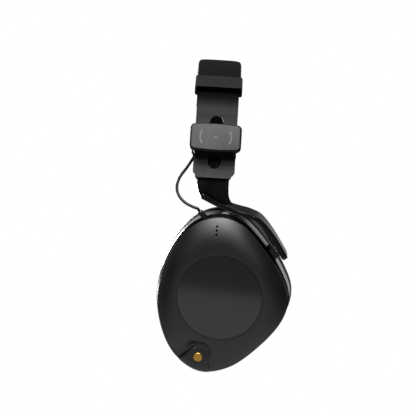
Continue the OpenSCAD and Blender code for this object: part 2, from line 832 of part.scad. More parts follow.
// Tapered sleeve, with a shank that sits in the cup's wall
module relief_body() {
    n = len(lead_route);
    end = lead_route[n - 1];
    aim(end, end - lead_route[n - 2]) {
        cylinder(h = 1.2, d1 = relief_d - 1, d2 = relief_d);
        translate([0, 0, 1.2 - join]) cylinder(h = 6.9, d = relief_d);
    }
}

module strain_relief() {
    color("#161617") relief_body();
}

headband_spring();
crown_cover();
crown_cushion();
on_side(left) collar();  // left_collar
on_side(right) collar();  // right_collar
collar_screws();
on_side(left) arm();  // left_arm
on_side(left) carriage();  // left_carriage
on_side(left) inner_guide();  // left_inner_guide
on_side(left) friction_pad();  // left_friction_pad
on_side(left) lock_bolt();  // left_lock_bolt
on_side(left) lock_clip();  // left_lock_clip
on_side(left) pivot_pin();  // left_pivot_pin
on_side(left) pivot_clip();  // left_pivot_clip
on_side(left) lead();  // left_lead
on_side(left) lead_gland();  // left_lead_gland
on_side(left) lock_knob();  // left_lock_knob
on_side(left) knob_cap();  // left_knob_cap
on_side(left) outer_shell(wired = true);  // left_outer_shell
on_side(left) inlay();  // left_inlay
on_side(left) trim_ring(wired = true);  // left_trim_ring
on_side(left) rear_housing(wired = true);  // left_rear_housing
on_side(left) baffle();  // left_baffle
on_side(left) driver_frame();  // left_driver_frame
on_side(left) driver_magnet();  // left_driver_magnet
on_side(left) driver_diaphragm();  // left_driver_diaphragm
on_side(left) ear_screen();  // left_ear_screen
on_side(left) ear_cushion();  // left_ear_cushion
on_side(left) jack_socket();  // left_jack_socket
on_side(left) socket_stud();  // left_socket_stud
on_side(left) shell_screws();  // left_shell_screws
on_side(left) pivot_block();  // left_pivot_block
on_side(left) strain_relief();  // left_strain_relief
on_side(right) arm();  // right_arm
on_side(right) carriage();  // right_carriage
on_side(right) inner_guide();  // right_inner_guide
on_side(right) friction_pad();  // right_friction_pad
on_side(right) lock_bolt();  // right_lock_bolt
on_side(right) lock_clip();  // right_lock_clip
on_side(right) pivot_pin();  // right_pivot_pin
on_side(right) pivot_clip();  // right_pivot_clip
on_side(right) lock_knob();  // right_lock_knob
on_side(right) knob_cap();  // right_knob_cap
on_side(right) outer_shell();  // right_outer_shell
on_side(right) inlay();  // right_inlay
on_side(right) trim_ring();  // right_trim_ring
on_side(right) rear_housing();  // right_rear_housing
on_side(right) baffle();  // right_baffle
on_side(right) driver_frame();  // right_driver_frame
on_side(right) driver_magnet();  // right_driver_magnet
on_side(right) driver_diaphragm();  // right_driver_diaphragm
on_side(right) ear_screen();  // right_ear_screen
on_side(right) ear_cushion();  // right_ear_cushion
on_side(right) shell_screws();  // right_shell_screws
on_side(right) pivot_block();  // right_pivot_block
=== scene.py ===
# %% [markdown]
# # An over-ear headset, dressed for its portrait
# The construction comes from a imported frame: a sprung band, two arms that slide on it, and two
# cups that tilt. This lesson keeps that frame as it is and gives each part its finish. Hard parts
# whose shape is right only get a material. Soft parts, the mouldings and the band are made again
# with finer meshes, from the same few sizes as the construction.

# %% Load the frame
import json
import math

import bmesh
import bpy
from mathutils import Euler, Matrix, Vector
from mathutils.kdtree import KDTree


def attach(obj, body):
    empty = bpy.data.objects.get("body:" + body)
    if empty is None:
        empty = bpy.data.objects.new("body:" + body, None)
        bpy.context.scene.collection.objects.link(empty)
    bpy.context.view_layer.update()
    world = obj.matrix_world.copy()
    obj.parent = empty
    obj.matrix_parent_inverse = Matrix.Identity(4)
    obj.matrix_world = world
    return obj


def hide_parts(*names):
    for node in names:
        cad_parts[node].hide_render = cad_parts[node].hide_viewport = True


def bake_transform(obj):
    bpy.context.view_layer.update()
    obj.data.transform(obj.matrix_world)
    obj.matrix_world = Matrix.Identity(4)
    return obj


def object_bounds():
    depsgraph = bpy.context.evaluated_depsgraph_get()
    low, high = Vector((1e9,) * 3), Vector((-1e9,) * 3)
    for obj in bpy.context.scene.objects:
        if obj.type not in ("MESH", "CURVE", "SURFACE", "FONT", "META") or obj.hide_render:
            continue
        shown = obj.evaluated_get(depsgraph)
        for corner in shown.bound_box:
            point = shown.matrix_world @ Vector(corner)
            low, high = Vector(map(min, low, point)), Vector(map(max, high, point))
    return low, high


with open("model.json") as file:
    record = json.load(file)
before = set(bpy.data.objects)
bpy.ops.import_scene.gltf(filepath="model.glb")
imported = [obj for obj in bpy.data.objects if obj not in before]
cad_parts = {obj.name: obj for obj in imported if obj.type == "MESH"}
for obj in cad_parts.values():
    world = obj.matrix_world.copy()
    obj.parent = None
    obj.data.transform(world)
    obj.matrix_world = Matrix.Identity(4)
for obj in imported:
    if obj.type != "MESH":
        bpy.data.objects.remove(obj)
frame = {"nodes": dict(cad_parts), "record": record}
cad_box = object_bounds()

SCENE = bpy.context.scene
SCENE.view_settings.view_transform = "Standard"

# %% [markdown]
# ## The camera
# The portrait is taken from the wearer's left with a long lens, a metre away, so the cup hardly
# changes size with depth. The camera looks along -X. Its three axes are written straight into a
# matrix, because a small roll about the line of sight is easier to read there than in angles.

# %% Camera
CAMERA_PLACE = (1.086, -0.0022, -0.0869)
CAMERA_ROLL = math.radians(3.5)
LENS_MM = 135
SENSOR_MM = 36

camera_data = bpy.data.cameras.new("camera")
camera_data.lens = LENS_MM
camera_data.sensor_width = SENSOR_MM
camera_data.sensor_fit = "HORIZONTAL"
camera = bpy.data.objects.new("camera", camera_data)
SCENE.collection.objects.link(camera)
right_hand = Vector((0, math.cos(CAMERA_ROLL), math.sin(CAMERA_ROLL)))
upward = Vector((0, -math.sin(CAMERA_ROLL), math.cos(CAMERA_ROLL)))
backward = right_hand.cross(upward)
camera.matrix_world = Matrix.Translation(CAMERA_PLACE) @ Matrix((right_hand, upward, backward)).transposed().to_4x4()
SCENE.camera = camera
print("camera", round(math.degrees(camera_data.angle), 1), "degrees wide")

# %% [markdown]
# ## Lines, rings and lofts
# Almost every moulded part here is a stack of rings, so three helpers carry the whole model: a
# smooth curve through a few points, an offset of a closed outline, and a loft that joins equal
# rings with quads. Lofts are built in bmesh, in millimetres, and placed by a matrix at the end.

# %% Curves and offsets
MM = 0.001


def bend(a, b, c, d, t):
    """Point between b and c on the smooth curve through four points."""
    return (2 * b + (c - a) * t + (2 * a - 5 * b + 4 * c - d) * t**2 + (3 * b - a - 3 * c + d) * t**3) / 2


def closed_curve(points, steps):
    p = [Vector(q) for q in points]
    n = len(p)
    return [bend(p[i - 1], p[i], p[(i + 1) % n], p[(i + 2) % n], k / steps) for i in range(n) for k in range(steps)]


def open_curve(points, steps):
    p = [Vector(q) for q in points]
    p = [2 * p[0] - p[1]] + p + [2 * p[-1] - p[-2]]
    line = [bend(*p[i:i + 4], k / steps) for i in range(len(p) - 3) for k in range(steps)]
    return line + [p[-2]]


def grow(line, distance):
    """Closed flat outline moved outwards by a distance."""
    moved = []
    for i, q in enumerate(line):
        along = (line[(i + 1) % len(line)] - line[i - 1]).normalized()
        moved.append(q + distance * Vector((along.y, -along.x)))
    return moved


# %% Lofts and pieces
def loft(rings, looped=False, capped=True):
    """Closed skin through equal rings of points."""
    bm = bmesh.new()
    rows = [[bm.verts.new(p) for p in ring] for ring in rings]
    count = len(rows[0])
    pairs = zip(rows, rows[1:] + rows[:1]) if looped else zip(rows, rows[1:])
    for low, high in pairs:
        for j in range(count):
            k = (j + 1) % count
            bm.faces.new((low[j], low[k], high[k], high[j]))
    if capped and not looped:
        bm.faces.new(rows[0])
        bm.faces.new(rows[-1])
    bmesh.ops.recalc_face_normals(bm, faces=bm.faces)
    return bm


FLAT_RATIO = 5


def soften(bm, degrees=32, flat_ratio=None):
    """Smooth shading, kept crisp where faces meet at more than an angle, or where a large flat one meets a bevel."""
    for face in bm.faces:
        face.smooth = True
    for edge in bm.edges:
        angle = edge.calc_face_angle(0) if len(edge.link_faces) == 2 else math.pi
        edge.smooth = angle < math.radians(degrees)
        if flat_ratio and edge.smooth and angle > math.radians(4):
            small, large = sorted(face.calc_area() for face in edge.link_faces)
            edge.smooth = large < flat_ratio * small


def placed(bm, matrix):
    """Moves a mesh and keeps its faces pointing outwards when the matrix mirrors it."""
    bmesh.ops.transform(bm, matrix=matrix, verts=bm.verts)
    if matrix.determinant() < 0:
        bmesh.ops.reverse_faces(bm, faces=bm.faces)
    return bm


def as_object(name, bm):
    mesh = bpy.data.meshes.new(name)
    bm.to_mesh(mesh)
    bm.free()
    made = bpy.data.objects.new(name, mesh)
    SCENE.collection.objects.link(made)
    return made


def dress(made, body, material, replaces=()):
    """Gives a finished piece its material, the body that it rides on and the nodes it stands for."""
    if material:
        made.data.materials.clear()
        made.data.materials.append(material)
    if body:
        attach(made, body)
    if replaces:
        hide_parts(*replaces)
    print(made.name, len(made.data.polygons), "faces")
    return made


def evaluated_mesh(made):
    """Applies an object's modifiers and clears them."""
    depsgraph = bpy.context.evaluated_depsgraph_get()
    mesh = bpy.data.meshes.new_from_object(made.evaluated_get(depsgraph))
    made.modifiers.clear()
    old = made.data
    made.data = mesh
    bpy.data.meshes.remove(old)
    return made


FLIP = Matrix.Scale(-1, 4, (1, 0, 0))


def mirrored(made, name):
    """A left-hand piece's twin on the right-hand side."""
    bm = bmesh.new()
    bm.from_mesh(made.data)
    return as_object(name, placed(bm, FLIP))


# %% [markdown]
# ## The short lead
# A thin lead runs from the carriage down to the cup. It is a soft part of fixed length, so its
# route is a short list of points and the tube follows a smooth curve through them.

# %% Lead
LEAD_THICK = 0.0019
LEAD_ROUTE = [
    (0.0754, -0.013, -0.0535), (0.0753, -0.014, -0.0557), (0.0756, -0.0176, -0.0618),
    (0.0766, -0.0216, -0.068), (0.0782, -0.0231, -0.074), (0.08, -0.0217, -0.0796),
    (0.082, -0.0174, -0.0841), (0.0835, -0.0123, -0.0866), (0.08395, -0.00903, -0.08763),
    (0.0838, -0.0075, -0.0892),
]


def tube(line, radius, sides=16):
    """Rings square to a line, carried along it without twist."""
    rings = []
    side = Vector((1, 0, 0))
    for i, p in enumerate(line):
        along = (line[min(i + 1, len(line) - 1)] - line[max(i - 1, 0)]).normalized()
        side = (side - side.dot(along) * along).normalized()
        other = along.cross(side)
        turns = [2 * math.pi * k / sides for k in range(sides)]
        rings.append([p + radius * (math.cos(t) * side + math.sin(t) * other) for t in turns])
    return rings


lead_line = open_curve(LEAD_ROUTE, 6)
lead_length = sum((b - a).length for a, b in zip(lead_line, lead_line[1:]))
lead_mesh = loft(tube(lead_line, LEAD_THICK / 2))
soften(lead_mesh, 60)
lead = as_object("short_lead", lead_mesh)
print("lead", round(lead_length * 1000, 1), "mm")

# %% [markdown]
# ## Writing materials as sums
# A finish is easier to read as an expression than as a web of nodes. `Wire` wraps a socket and
# turns + - * / into Math nodes, and `Finish.add` makes any other node: its settings are set
# first, then its inputs.

# %% Shader helpers
class Wire:
    """A socket that takes part in sums."""

    def __init__(self, finish, socket):
        self.finish, self.socket = finish, socket

    def maths(self, operation, *values):
        return self.finish.add("ShaderNodeMath", {"operation": operation}, *values)

    def __add__(self, other): return self.maths("ADD", self, other)
    def __radd__(self, other): return self.maths("ADD", other, self)
    def __sub__(self, other): return self.maths("SUBTRACT", self, other)
    def __rsub__(self, other): return self.maths("SUBTRACT", other, self)
    def __mul__(self, other): return self.maths("MULTIPLY", self, other)
    def __rmul__(self, other): return self.maths("MULTIPLY", other, self)
    def __truediv__(self, other): return self.maths("DIVIDE", self, other)
    def power(self, other): return self.maths("POWER", self, other)
    def above(self, other): return self.maths("GREATER_THAN", self, other)


class Finish:
    """A material built from expressions."""

    def __init__(self, name, **constants):
        self.material = bpy.data.materials.new(name)
        self.material.use_nodes = True
        self.tree = self.material.node_tree
        self.shader = self.tree.nodes["Principled BSDF"]
        for key, value in constants.items():
            self.shader.inputs[key.replace("_", " ")].default_value = value

    def add(self, kind, settings=None, *values, out=0, **named):
        node = self.tree.nodes.new(kind)
        for key, value in (settings or {}).items():
            if key == "stops":
                for i, (place, colour) in enumerate(value):
                    stop = node.color_ramp.elements[i] if i < 2 else node.color_ramp.elements.new(place)
                    stop.position, stop.color = place, colour
            else:
                setattr(node, key, value)
        for key, value in list(enumerate(values)) + [(k.replace("_", " "), v) for k, v in named.items()]:
            if isinstance(value, Wire):
                self.tree.links.new(value.socket, node.inputs[key])
            elif value is not None:
                node.inputs[key].default_value = value
        return Wire(self, node.outputs[out])

    def feed(self, **inputs):
        for key, value in inputs.items():
            self.tree.links.new(value.socket, self.shader.inputs[key.replace("_", " ")])
        return self.material

    def place(self, stretch=(1, 1, 1)):
        """Object coordinates in metres, stretched by a scale on each axis."""
        here = self.add("ShaderNodeTexCoord", out="Object")
        return self.add("ShaderNodeVectorMath", {"operation": "MULTIPLY"}, here, stretch)

    def noise(self, scale, stretch=(1, 1, 1), detail=3.0, roughness=0.55):
        return self.add("ShaderNodeTexNoise", None, Vector=self.place(stretch), Scale=scale, Detail=detail,
                        Roughness=roughness)

    def blend(self, factor, first, second):
        """Colour between two, by a factor from 0 to 1."""
        return self.add("ShaderNodeMix", {"data_type": "RGBA"}, factor, *[None] * 5, first, second, out=2)

    def bump(self, height, strength, distance):
        return self.add("ShaderNodeBump", None, Strength=strength, Distance=distance, Height=height)


def grey(value, tint=0.0):
    """A linear grey with a touch of blue."""
    return (value, value, value * (1 + tint), 1)


# %% [markdown]
# ## Hard finishes
# The plastics differ in gloss and in the size of their grain, so one recipe serves them: a colour
# that drifts a little, a roughness that drifts with it, and a grain pressed into the mould.

# %% Moulded plastics
def moulded(name, shade, rough, grain=2600, depth=0.25, tint=0.0, drift=0.25, shine=0.5):
    finish = Finish(name, Specular_IOR_Level=shine)
    broad = finish.noise(60)
    fine = finish.noise(grain, detail=2.0)
    colour = finish.blend(broad, grey(shade * (1 - drift), tint), grey(shade * (1 + drift), tint))
    return finish.feed(
        Base_Color=colour,
        Roughness=rough + 0.1 * (broad - 0.5) + 0.08 * (fine - 0.5),
        Normal=finish.bump(fine, depth, 0.00004),
    )


COLLAR = moulded("collar_plastic", 0.018, 0.46)
CARRIAGE = moulded("carriage_plastic", 0.004, 0.4)
# painted shade: a duller, darker black for the shell's side under its edge and for the collars' undersides
PAINTED_SHADE_BLACK = moulded("painted_shade_black", 0.001, 0.25, depth=0.1, shine=0.2)
SHELL = moulded("shell_plastic", 0.003, 0.44, grain=3200, depth=0.3, shine=0.9)
HOUSING = moulded("housing_plastic", 0.02, 0.5, tint=0.05)
KNOB = moulded("knob_plastic", 0.005, 0.38, shine=0.35)
KNOB_FACE = moulded("knob_face", 0.145, 0.6, grain=3600, depth=0.4, shine=0.05)
ARM = moulded("arm_gloss", 0.002, 0.15, grain=900, depth=0.02)
BAFFLE = moulded("baffle_plastic", 0.012, 0.5)
FRAME = moulded("frame_plastic", 0.03, 0.5)
SOCKET = moulded("socket_plastic", 0.004, 0.35)
GLAND = moulded("gland_plastic", 0.008, 0.45)
NYLON = moulded("nylon", 0.006, 0.5, drift=0.2)
DIAPHRAGM = moulded("diaphragm_film", 0.45, 0.4, drift=0.05)
RUBBER = moulded("lead_rubber", 0.004, 0.35, grain=1800)

# %% [markdown]
# The inlay is one flat gloss disc. It mirrors whatever stands in front of it, so it needs hardly
# any texture of its own: only faint, very broad waves that keep the mirror from looking computed.


# %% Inlay
def inlay_finish():
    finish = Finish("inlay_plastic", Specular_IOR_Level=1.0)
    haze = finish.noise(900)
    colour = finish.blend(haze, grey(0.004), grey(0.006))
    waves = finish.bump(finish.noise(25), 0.02, 0.0001)
    return finish.feed(Base_Color=colour, Roughness=0.07 + 0.04 * haze, Normal=waves)


INLAY = inlay_finish()

# %% [markdown]
# ## Metals
# The band is blackened steel brushed along its length. Brushing is noise stretched until it
# becomes lines: fine across the band, long down it. The trim and the screws are plain satin metal.


# %% Metals
def brushed(name, dark, light, rough, stretch, metal=1.0, tint=0.0, depth=0.15):
    finish = Finish(name, Metallic=metal)
    lines = finish.noise(1.0, stretch, detail=4.0, roughness=0.7)
    clouds = finish.noise(45)
    colour = finish.blend(0.7 * lines + 0.3 * clouds, grey(dark, tint), grey(light, tint))
    return finish.feed(
        Base_Color=colour,
        Roughness=rough + 0.16 * (lines - 0.5) + 0.06 * (clouds - 0.5),
        Normal=finish.bump(lines, depth, 0.00003),
    )


def spring_with_painted_light_and_shade():
    """Oil-blackened steel, brushed along the legs, with painted shade towards the pad and painted light on the lower
    legs.
    """
    finish = Finish("spring_steel", Metallic=0.8, Specular_IOR_Level=0.25)
    lines = (finish.noise(1.0, (40, 1500, 40), detail=4.0, roughness=0.7) - 0.5) * 1.7 + 0.5
    clouds = finish.noise(45)
    height = finish.add("ShaderNodeSeparateXYZ", None, finish.place(), out="Z")
    # painted shade: the base colour goes almost black near the pad, where the collar shades the band
    painted_pad_shade = finish.add("ShaderNodeMapRange", {"interpolation_type": "SMOOTHSTEP"}, height, -0.014, -0.038, 0.0, 1.0)
    # painted light: the legs below the knobs, where the knobs' shadows fall, get a lighter base colour
    lower = finish.add("ShaderNodeMapRange", {"interpolation_type": "SMOOTHSTEP"}, height, -0.05, -0.07, 0.0, 1.0)
    brushing = 0.7 * lines + 0.3 * clouds
    upper_leg = finish.blend(brushing, grey(0.03), grey(0.08))
    painted_light_leg = finish.blend(brushing, grey(0.035), grey(0.1))
    leg = finish.blend(lower, upper_leg, painted_light_leg)
    return finish.feed(
        Base_Color=finish.blend(painted_pad_shade, grey(0.004), leg),
        Roughness=0.54 + 0.16 * (lines - 0.5) + 0.06 * (clouds - 0.5),
        Normal=finish.bump(lines, 0.2, 0.00003),
    )


SPRING = spring_with_painted_light_and_shade()
TRIM = brushed("trim_satin", 0.45, 0.6, 0.3, (1500, 1500, 1500), tint=0.06)
STEEL = brushed("screw_steel", 0.42, 0.56, 0.3, (1800, 1800, 1800))
MAGNET = brushed("magnet_steel", 0.2, 0.3, 0.4, (900, 900, 900))


def gold_finish():
    finish = Finish("gold", Metallic=1.0)
    lines = finish.noise(2400, detail=3.0)
    colour = finish.blend(lines, (0.62, 0.33, 0.07, 1), (0.8, 0.46, 0.12, 1))
    return finish.feed(Base_Color=colour, Roughness=0.36 + 0.1 * lines, Normal=finish.bump(lines, 0.1, 0.00003))


GOLD = gold_finish()

# %% [markdown]
# ## Fabrics
# The pads are covered in a short suede-like cloth: almost black, with no shine, a nap that
# catches light at the edges, and slow patches where the nap lies another way. The ear screen is
# an open acoustic cloth, so its weave is two crossed waves.


# %% Fabrics
def suede(name, dark, light):
    finish = Finish(name, Sheen_Weight=0.03, Sheen_Roughness=0.5, Specular_IOR_Level=0.1)
    nap = finish.noise(3800, detail=4.0, roughness=0.7)
    patches = finish.noise(140, detail=3.0)
    colour = finish.blend(0.55 * nap + 0.45 * patches, grey(dark), grey(light))
    return finish.feed(
        Base_Color=colour,
        Roughness=0.86 + 0.12 * nap,
        Normal=finish.bump(0.7 * nap + 0.6 * patches, 0.55, 0.00018),
    )


def screen_cloth():
    finish = Finish("screen_fabric", Specular_IOR_Level=0.3)
    across = finish.add("ShaderNodeTexWave", {"wave_type": "BANDS", "bands_direction": "Y"}, Vector=finish.place(),
                        Scale=320.0)
    down = finish.add("ShaderNodeTexWave", {"wave_type": "BANDS", "bands_direction": "Z"}, Vector=finish.place(),
                      Scale=320.0)
    weave = across * down
    colour = finish.blend(weave, grey(0.006), grey(0.035))
    return finish.feed(Base_Color=colour, Roughness=0.9 - 0.1 * weave, Normal=finish.bump(weave, 0.6, 0.0002))


PAD = suede("pad_fabric", 0.004, 0.01)
CUSHION = suede("cushion_fabric", 0.004, 0.01)
SCREEN = screen_cloth()
print(len(bpy.data.materials), "materials")

# %% [markdown]
# ## Parts that keep their own mesh
# Everything turned, drilled or hidden is already the right shape, so it only takes its material.
# The record names each part's slot, and the finishes carry the same names.


# %% Carried-over parts
FINISHES = {
    "spring_steel": SPRING, "pad_fabric": PAD, "collar_plastic": COLLAR, "screw_steel": STEEL, "arm_gloss": ARM,
    "carriage_plastic": CARRIAGE, "nylon": NYLON, "lead_rubber": RUBBER, "gland_plastic": GLAND,
    "knob_plastic": KNOB, "knob_face": KNOB_FACE, "shell_plastic": SHELL, "inlay_plastic": INLAY,
    "trim_satin": TRIM, "housing_plastic": HOUSING, "baffle_plastic": BAFFLE, "frame_plastic": FRAME,
    "magnet_steel": MAGNET, "diaphragm_film": DIAPHRAGM, "screen_fabric": SCREEN, "cushion_fabric": CUSHION,
    "socket_plastic": SOCKET, "gold": GOLD,
}
SLOT_OF = {part["node"]: part["material_slot"] for part in frame["record"]["subparts"]}
BODY_OF = {node: body for body, nodes in frame["record"]["behaviour"]["bodies"].items() for node in nodes}
for name, node in frame["nodes"].items():
    node.data.materials.clear()
    node.data.materials.append(FINISHES[SLOT_OF[name]])

dress(lead, None, RUBBER, ["left_lead"])
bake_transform(lead)

# %% [markdown]
# ## Rounding what the mould rounds
# A part cut from plates and holes has knife edges, and a moulded one doesn't. A copy has its flat
# facets merged and takes a small bevel. Its large faces stay shaded flat, because smooth shading
# would smear the bevel's turn across them.


# %% Bevelled copies
def merged_copy(node, name):
    bm = bmesh.new()
    bm.from_mesh(frame["nodes"][node].data)
    bmesh.ops.remove_doubles(bm, verts=bm.verts, dist=2e-6)
    bmesh.ops.dissolve_limit(bm, angle_limit=math.radians(0.6), verts=bm.verts, edges=bm.edges)
    return as_object(name, bm)


def round_edges(made, width, degrees=28, segments=3):
    """Bevels a piece's edges and shades its large faces flat."""
    bevel = made.modifiers.new("edge", "BEVEL")
    bevel.width = width
    bevel.segments = segments
    bevel.limit_method = "ANGLE"
    bevel.angle_limit = math.radians(degrees)
    bevel.use_clamp_overlap = True
    evaluated_mesh(made)
    bm = bmesh.new()
    bm.from_mesh(made.data)
    bmesh.ops.remove_doubles(bm, verts=bm.verts, dist=2e-6)
    soften(bm, 40, FLAT_RATIO)
    bm.to_mesh(made.data)
    bm.free()
    return made


def bevelled(node, name, width):
    made = round_edges(merged_copy(node, name), width)
    return dress(made, BODY_OF[node], FINISHES[SLOT_OF[node]], [node])


SHADED_UNDERSIDE = -0.45

bevelled("left_strain_relief", "left_relief_shape", 0.0004)
for side in ("left", "right"):
    collar = bevelled(f"{side}_collar", f"{side}_collar_shape", 0.0003)
    # painted shade: collar faces that point down take the duller, darker black
    collar.data.materials.append(PAINTED_SHADE_BLACK)
    for face in collar.data.polygons:
        face.material_index = int(face.normal.z < SHADED_UNDERSIDE)
    bevelled(f"{side}_carriage", f"{side}_carriage_shape", 0.0005)
    bevelled(f"{side}_inner_guide", f"{side}_guide_shape", 0.0003)
    bevelled(f"{side}_pivot_block", f"{side}_block_shape", 0.00035)
    bevelled(f"{side}_lock_bolt", f"{side}_bolt_shape", 0.0003)


# %% [markdown]
# ## The cup's own frame
# A cup leans in two ways, so its parts are built flat and then placed. In the cup's frame X runs
# to the back, Y up and Z outwards, in millimetres, with the shell's edge at zero. One outline of
# fourteen points shapes the shell, the trim, the housing and the cushion.

# %% Cup frame and outline
CUP_PLACE = (0.077, 0.0096, -0.1423)
CUP_YAW = math.radians(-7)
CUP_PITCH = math.radians(11)
SHELL_POINTS = [
    (43, 1), (37.2, 17), (26.5, 32.5), (12, 47), (-4, 51), (-21, 43.5), (-35, 23.5),
    (-41.5, 1), (-39.1, -22), (-29.4, -41.4), (-12.2, -52), (7.2, -48.1), (24.8, -34.1), (38.8, -16.3),
]
LEAN = Vector((0.1, 3))
FOOT_RISE = Vector((0, 0.9))
RING_LEAN = LEAN * 0.7
NO_SHIFT = Vector((0, 0))
AROUND = 32

axes = Matrix(((0, 0, 1), (1, 0, 0), (0, 1, 0))).to_4x4()
cup_turn = Euler((0, CUP_PITCH, CUP_YAW)).to_matrix().to_4x4()
LEFT_CUP = Matrix.Translation(CUP_PLACE) @ cup_turn @ axes @ Matrix.Scale(MM, 4)
RIGHT_CUP = FLIP @ LEFT_CUP
CUPS = {"left": LEFT_CUP, "right": RIGHT_CUP}
outline = closed_curve(SHELL_POINTS, AROUND)


def at_level(line, level, shift=NO_SHIFT):
    return [Vector((q.x + shift.x, q.y + shift.y, level)) for q in line]


def rounded(profile, radius, steps=3):
    """Closed profile whose corners are replaced by short curves."""
    p = [Vector(q) for q in profile]
    line = []
    for i, corner in enumerate(p):
        before, after = p[i - 1], p[(i + 1) % len(p)]
        start = corner + (before - corner).normalized() * min(radius, (before - corner).length * 0.45)
        end = corner + (after - corner).normalized() * min(radius, (after - corner).length * 0.45)
        for k in range(steps + 1):
            t = k / steps
            line.append((1 - t) ** 2 * start + 2 * t * (1 - t) * corner + t * t * end)
    return line


def wall(profile):
    """Ring-shaped wall from a closed profile of offset, level and sideways shift."""
    return loft([at_level(grow(outline, q[0]), q[1], q.zw) for q in profile], looped=True)


print(len(outline), "points round the cup")

# %% [markdown]
# ## The outer shell
# A shallow dome runs from a flat round face down to a crisp edge, and a short side falls from
# the edge to the trim. Near the bottom a boss stands level over the cable socket. Where the dome
# is higher than the boss it is drawn down in a soft hollow, and where it is lower the boss ends in
# a short wall. So each point of the dome is held between a rising and a falling surface, and a
# soft groove deepens the line where they meet, most of all on the left. The short side under the
# edge takes a duller, darker black: painted shade for the narrow gap between two mouldings.

# %% Outer shell
DOME = 8.6
DOME_EDGE = 1.2
EDGE_IN = 0.4
FACE_RADIUS = 28.2
RECESS_RADIUS = 27.6
RECESS_DEEP = 0.8
SHELL_THICK = 2.0
VENTS = [(-3.7, 40.6), (-3.7, 43.1), (-3.7, 45.6)]
VENT_RADIUS = 0.75
RIM_LOW = -1.5
DOME_RINGS = {"left": 84, "right": 42}


def soft_min(a, b, reach):
    """The lower of two heights, rounded where they cross."""
    h = max(0, min(1, 0.5 + (b - a) / (2 * reach)))
    return b + (a - b) * h - reach * h * (1 - h)


def soft_max(a, b, reach):
    return -soft_min(-a, -b, reach)


# %% The boss
STUD = Vector((-13, -41.6))
BOSS_RADIUS = 6.8
BOSS_TOP = 5.1
BOSS_RISE = 0.17
BOSS_SKIRT = 2.0
WELL_LEVEL = 4.2
BOSS_FLOOR = 0.9
BOSS_REACH = 9
HOLLOW_SLOPE, WALL_SLOPE, POCKET_SLOPE = 0.88, 1.1, 1.0
GROOVE_DEEP, GROOVE_WIDE = 4.6, 2.3
SHALLOW = 0.22


def boss_reach(x, y):
    """Distance from the boss's middle line: round above the stud, straight on the right, slanting on the left."""
    if x >= 0:
        return x if y < 0 else math.hypot(x, y)
    return (y - x) / math.sqrt(2) if y < -x else math.hypot(x, y)


def boss_height(point, height, inside):
    """Height of the surface at a point that lies some way inside the shell's outline."""
    x, y = point.x - STUD.x, point.y - STUD.y
    beyond = soft_max(boss_reach(x, y) - BOSS_RADIUS, 0, 0.5)
    level = BOSS_TOP - BOSS_RISE * max(-BOSS_REACH, min(BOSS_REACH, y))
    top = level - (level - 1.4) * math.exp(-max(inside, 0) / BOSS_SKIRT)
    hollow = level + HOLLOW_SLOPE * beyond
    wall_slope = POCKET_SLOPE + (WALL_SLOPE - POCKET_SLOPE) * max(0, min(1, (x + 3) / 6))
    deep = max(SHALLOW if y > 0 else SHALLOW + 0.05 * y, min(1, -x / 5))
    u = beyond / GROOVE_WIDE
    groove = GROOVE_DEEP * max(0, deep) * u * math.exp(1 - u)
    surface = soft_max(soft_min(height, hollow, 1.0), top - wall_slope * beyond, 0.8)
    spare = max(surface - BOSS_FLOOR, 0.001)
    return surface - spare * (1 - math.exp(-groove / spare))


def dome_rings(inset, drop, boss):
    """Rings from the shell's edge up to its flat face."""
    line = grow(outline, -EDGE_IN - inset)
    rings = []
    count = DOME_RINGS["left" if boss else "right"]
    for k in range(count, -1, -1):
        share = k / count
        height = DOME + (DOME_EDGE - DOME) * share ** 2.1
        ring = []
        for q, edge in zip(outline, line):
            p = (q.normalized() * FACE_RADIUS).lerp(edge, share)
            h = boss_height(p, height, (p - q).length) if boss and k else height
            ring.append(Vector((p.x, p.y, h - drop)))
        rings.append(ring)
    return rings


def edge_ring(offset, level, boss):
    ring = grow(outline, offset)
    return [Vector((p.x, p.y, boss_height(p, level, -offset) if boss else level)) for p in ring]


def shell_mesh(boss):
    circle = [q.normalized() for q in outline]
    outside = [at_level(grow(outline, 0.95), RIM_LOW, FOOT_RISE), at_level(grow(outline, 0.9), -1.4, FOOT_RISE),
               edge_ring(-0.1, 0.65, boss), edge_ring(-0.12, 0.95, boss), edge_ring(-0.2, 1.12, boss)]
    outside += dome_rings(0, 0, boss)
    face = [at_level([c * (RECESS_RADIUS + 0.18) for c in circle], DOME),
            at_level([c * (RECESS_RADIUS + 0.05) for c in circle], DOME - 0.05),
            at_level([c * RECESS_RADIUS for c in circle], DOME - 0.18),
            at_level([c * RECESS_RADIUS for c in circle], DOME - RECESS_DEEP),
            at_level([c * (RECESS_RADIUS - 4) for c in circle], DOME - RECESS_DEEP)]
    inside = [at_level([c * (RECESS_RADIUS - 4) for c in circle], DOME - SHELL_THICK)]
    inside += dome_rings(SHELL_THICK, SHELL_THICK, boss)[::-3]
    inside.append(at_level(grow(outline, -SHELL_THICK), RIM_LOW, FOOT_RISE))
    return loft(outside + face + inside, looped=True)


def cutter(name, bm):
    made = as_object(name, bm)
    made.hide_render = True
    return made


def cut(made, *tools, keep="DIFFERENCE"):
    """Takes closed tools out of a piece, or keeps only what lies inside them."""
    for tool in tools:
        step = made.modifiers.new("cut", "BOOLEAN")
        step.operation = keep
        step.object = tool
        step.solver = "EXACT"
    evaluated_mesh(made)
    for tool in tools:
        bpy.data.objects.remove(tool)
    return made


def rod(start, end, radius, sides=40):
    """Closed round bar between two points."""
    along = (Vector(end) - Vector(start)).normalized()
    side = along.orthogonal().normalized()
    other = along.cross(side)
    turns = [2 * math.pi * k / sides for k in range(sides)]
    circle = [radius * (math.cos(t) * side + math.sin(t) * other) for t in turns]
    return loft([[Vector(c) + q for q in circle] for c in (start, end)])


def resoften(made, degrees=32, flat_ratio=None):
    bm = bmesh.new()
    bm.from_mesh(made.data)
    soften(bm, degrees, flat_ratio)
    bm.to_mesh(made.data)
    bm.free()
    return made


# the shell's faces between these levels take the painted shade black
SHADED_SIDE_LOW, SHADED_SIDE_HIGH = -1.6, 0.6


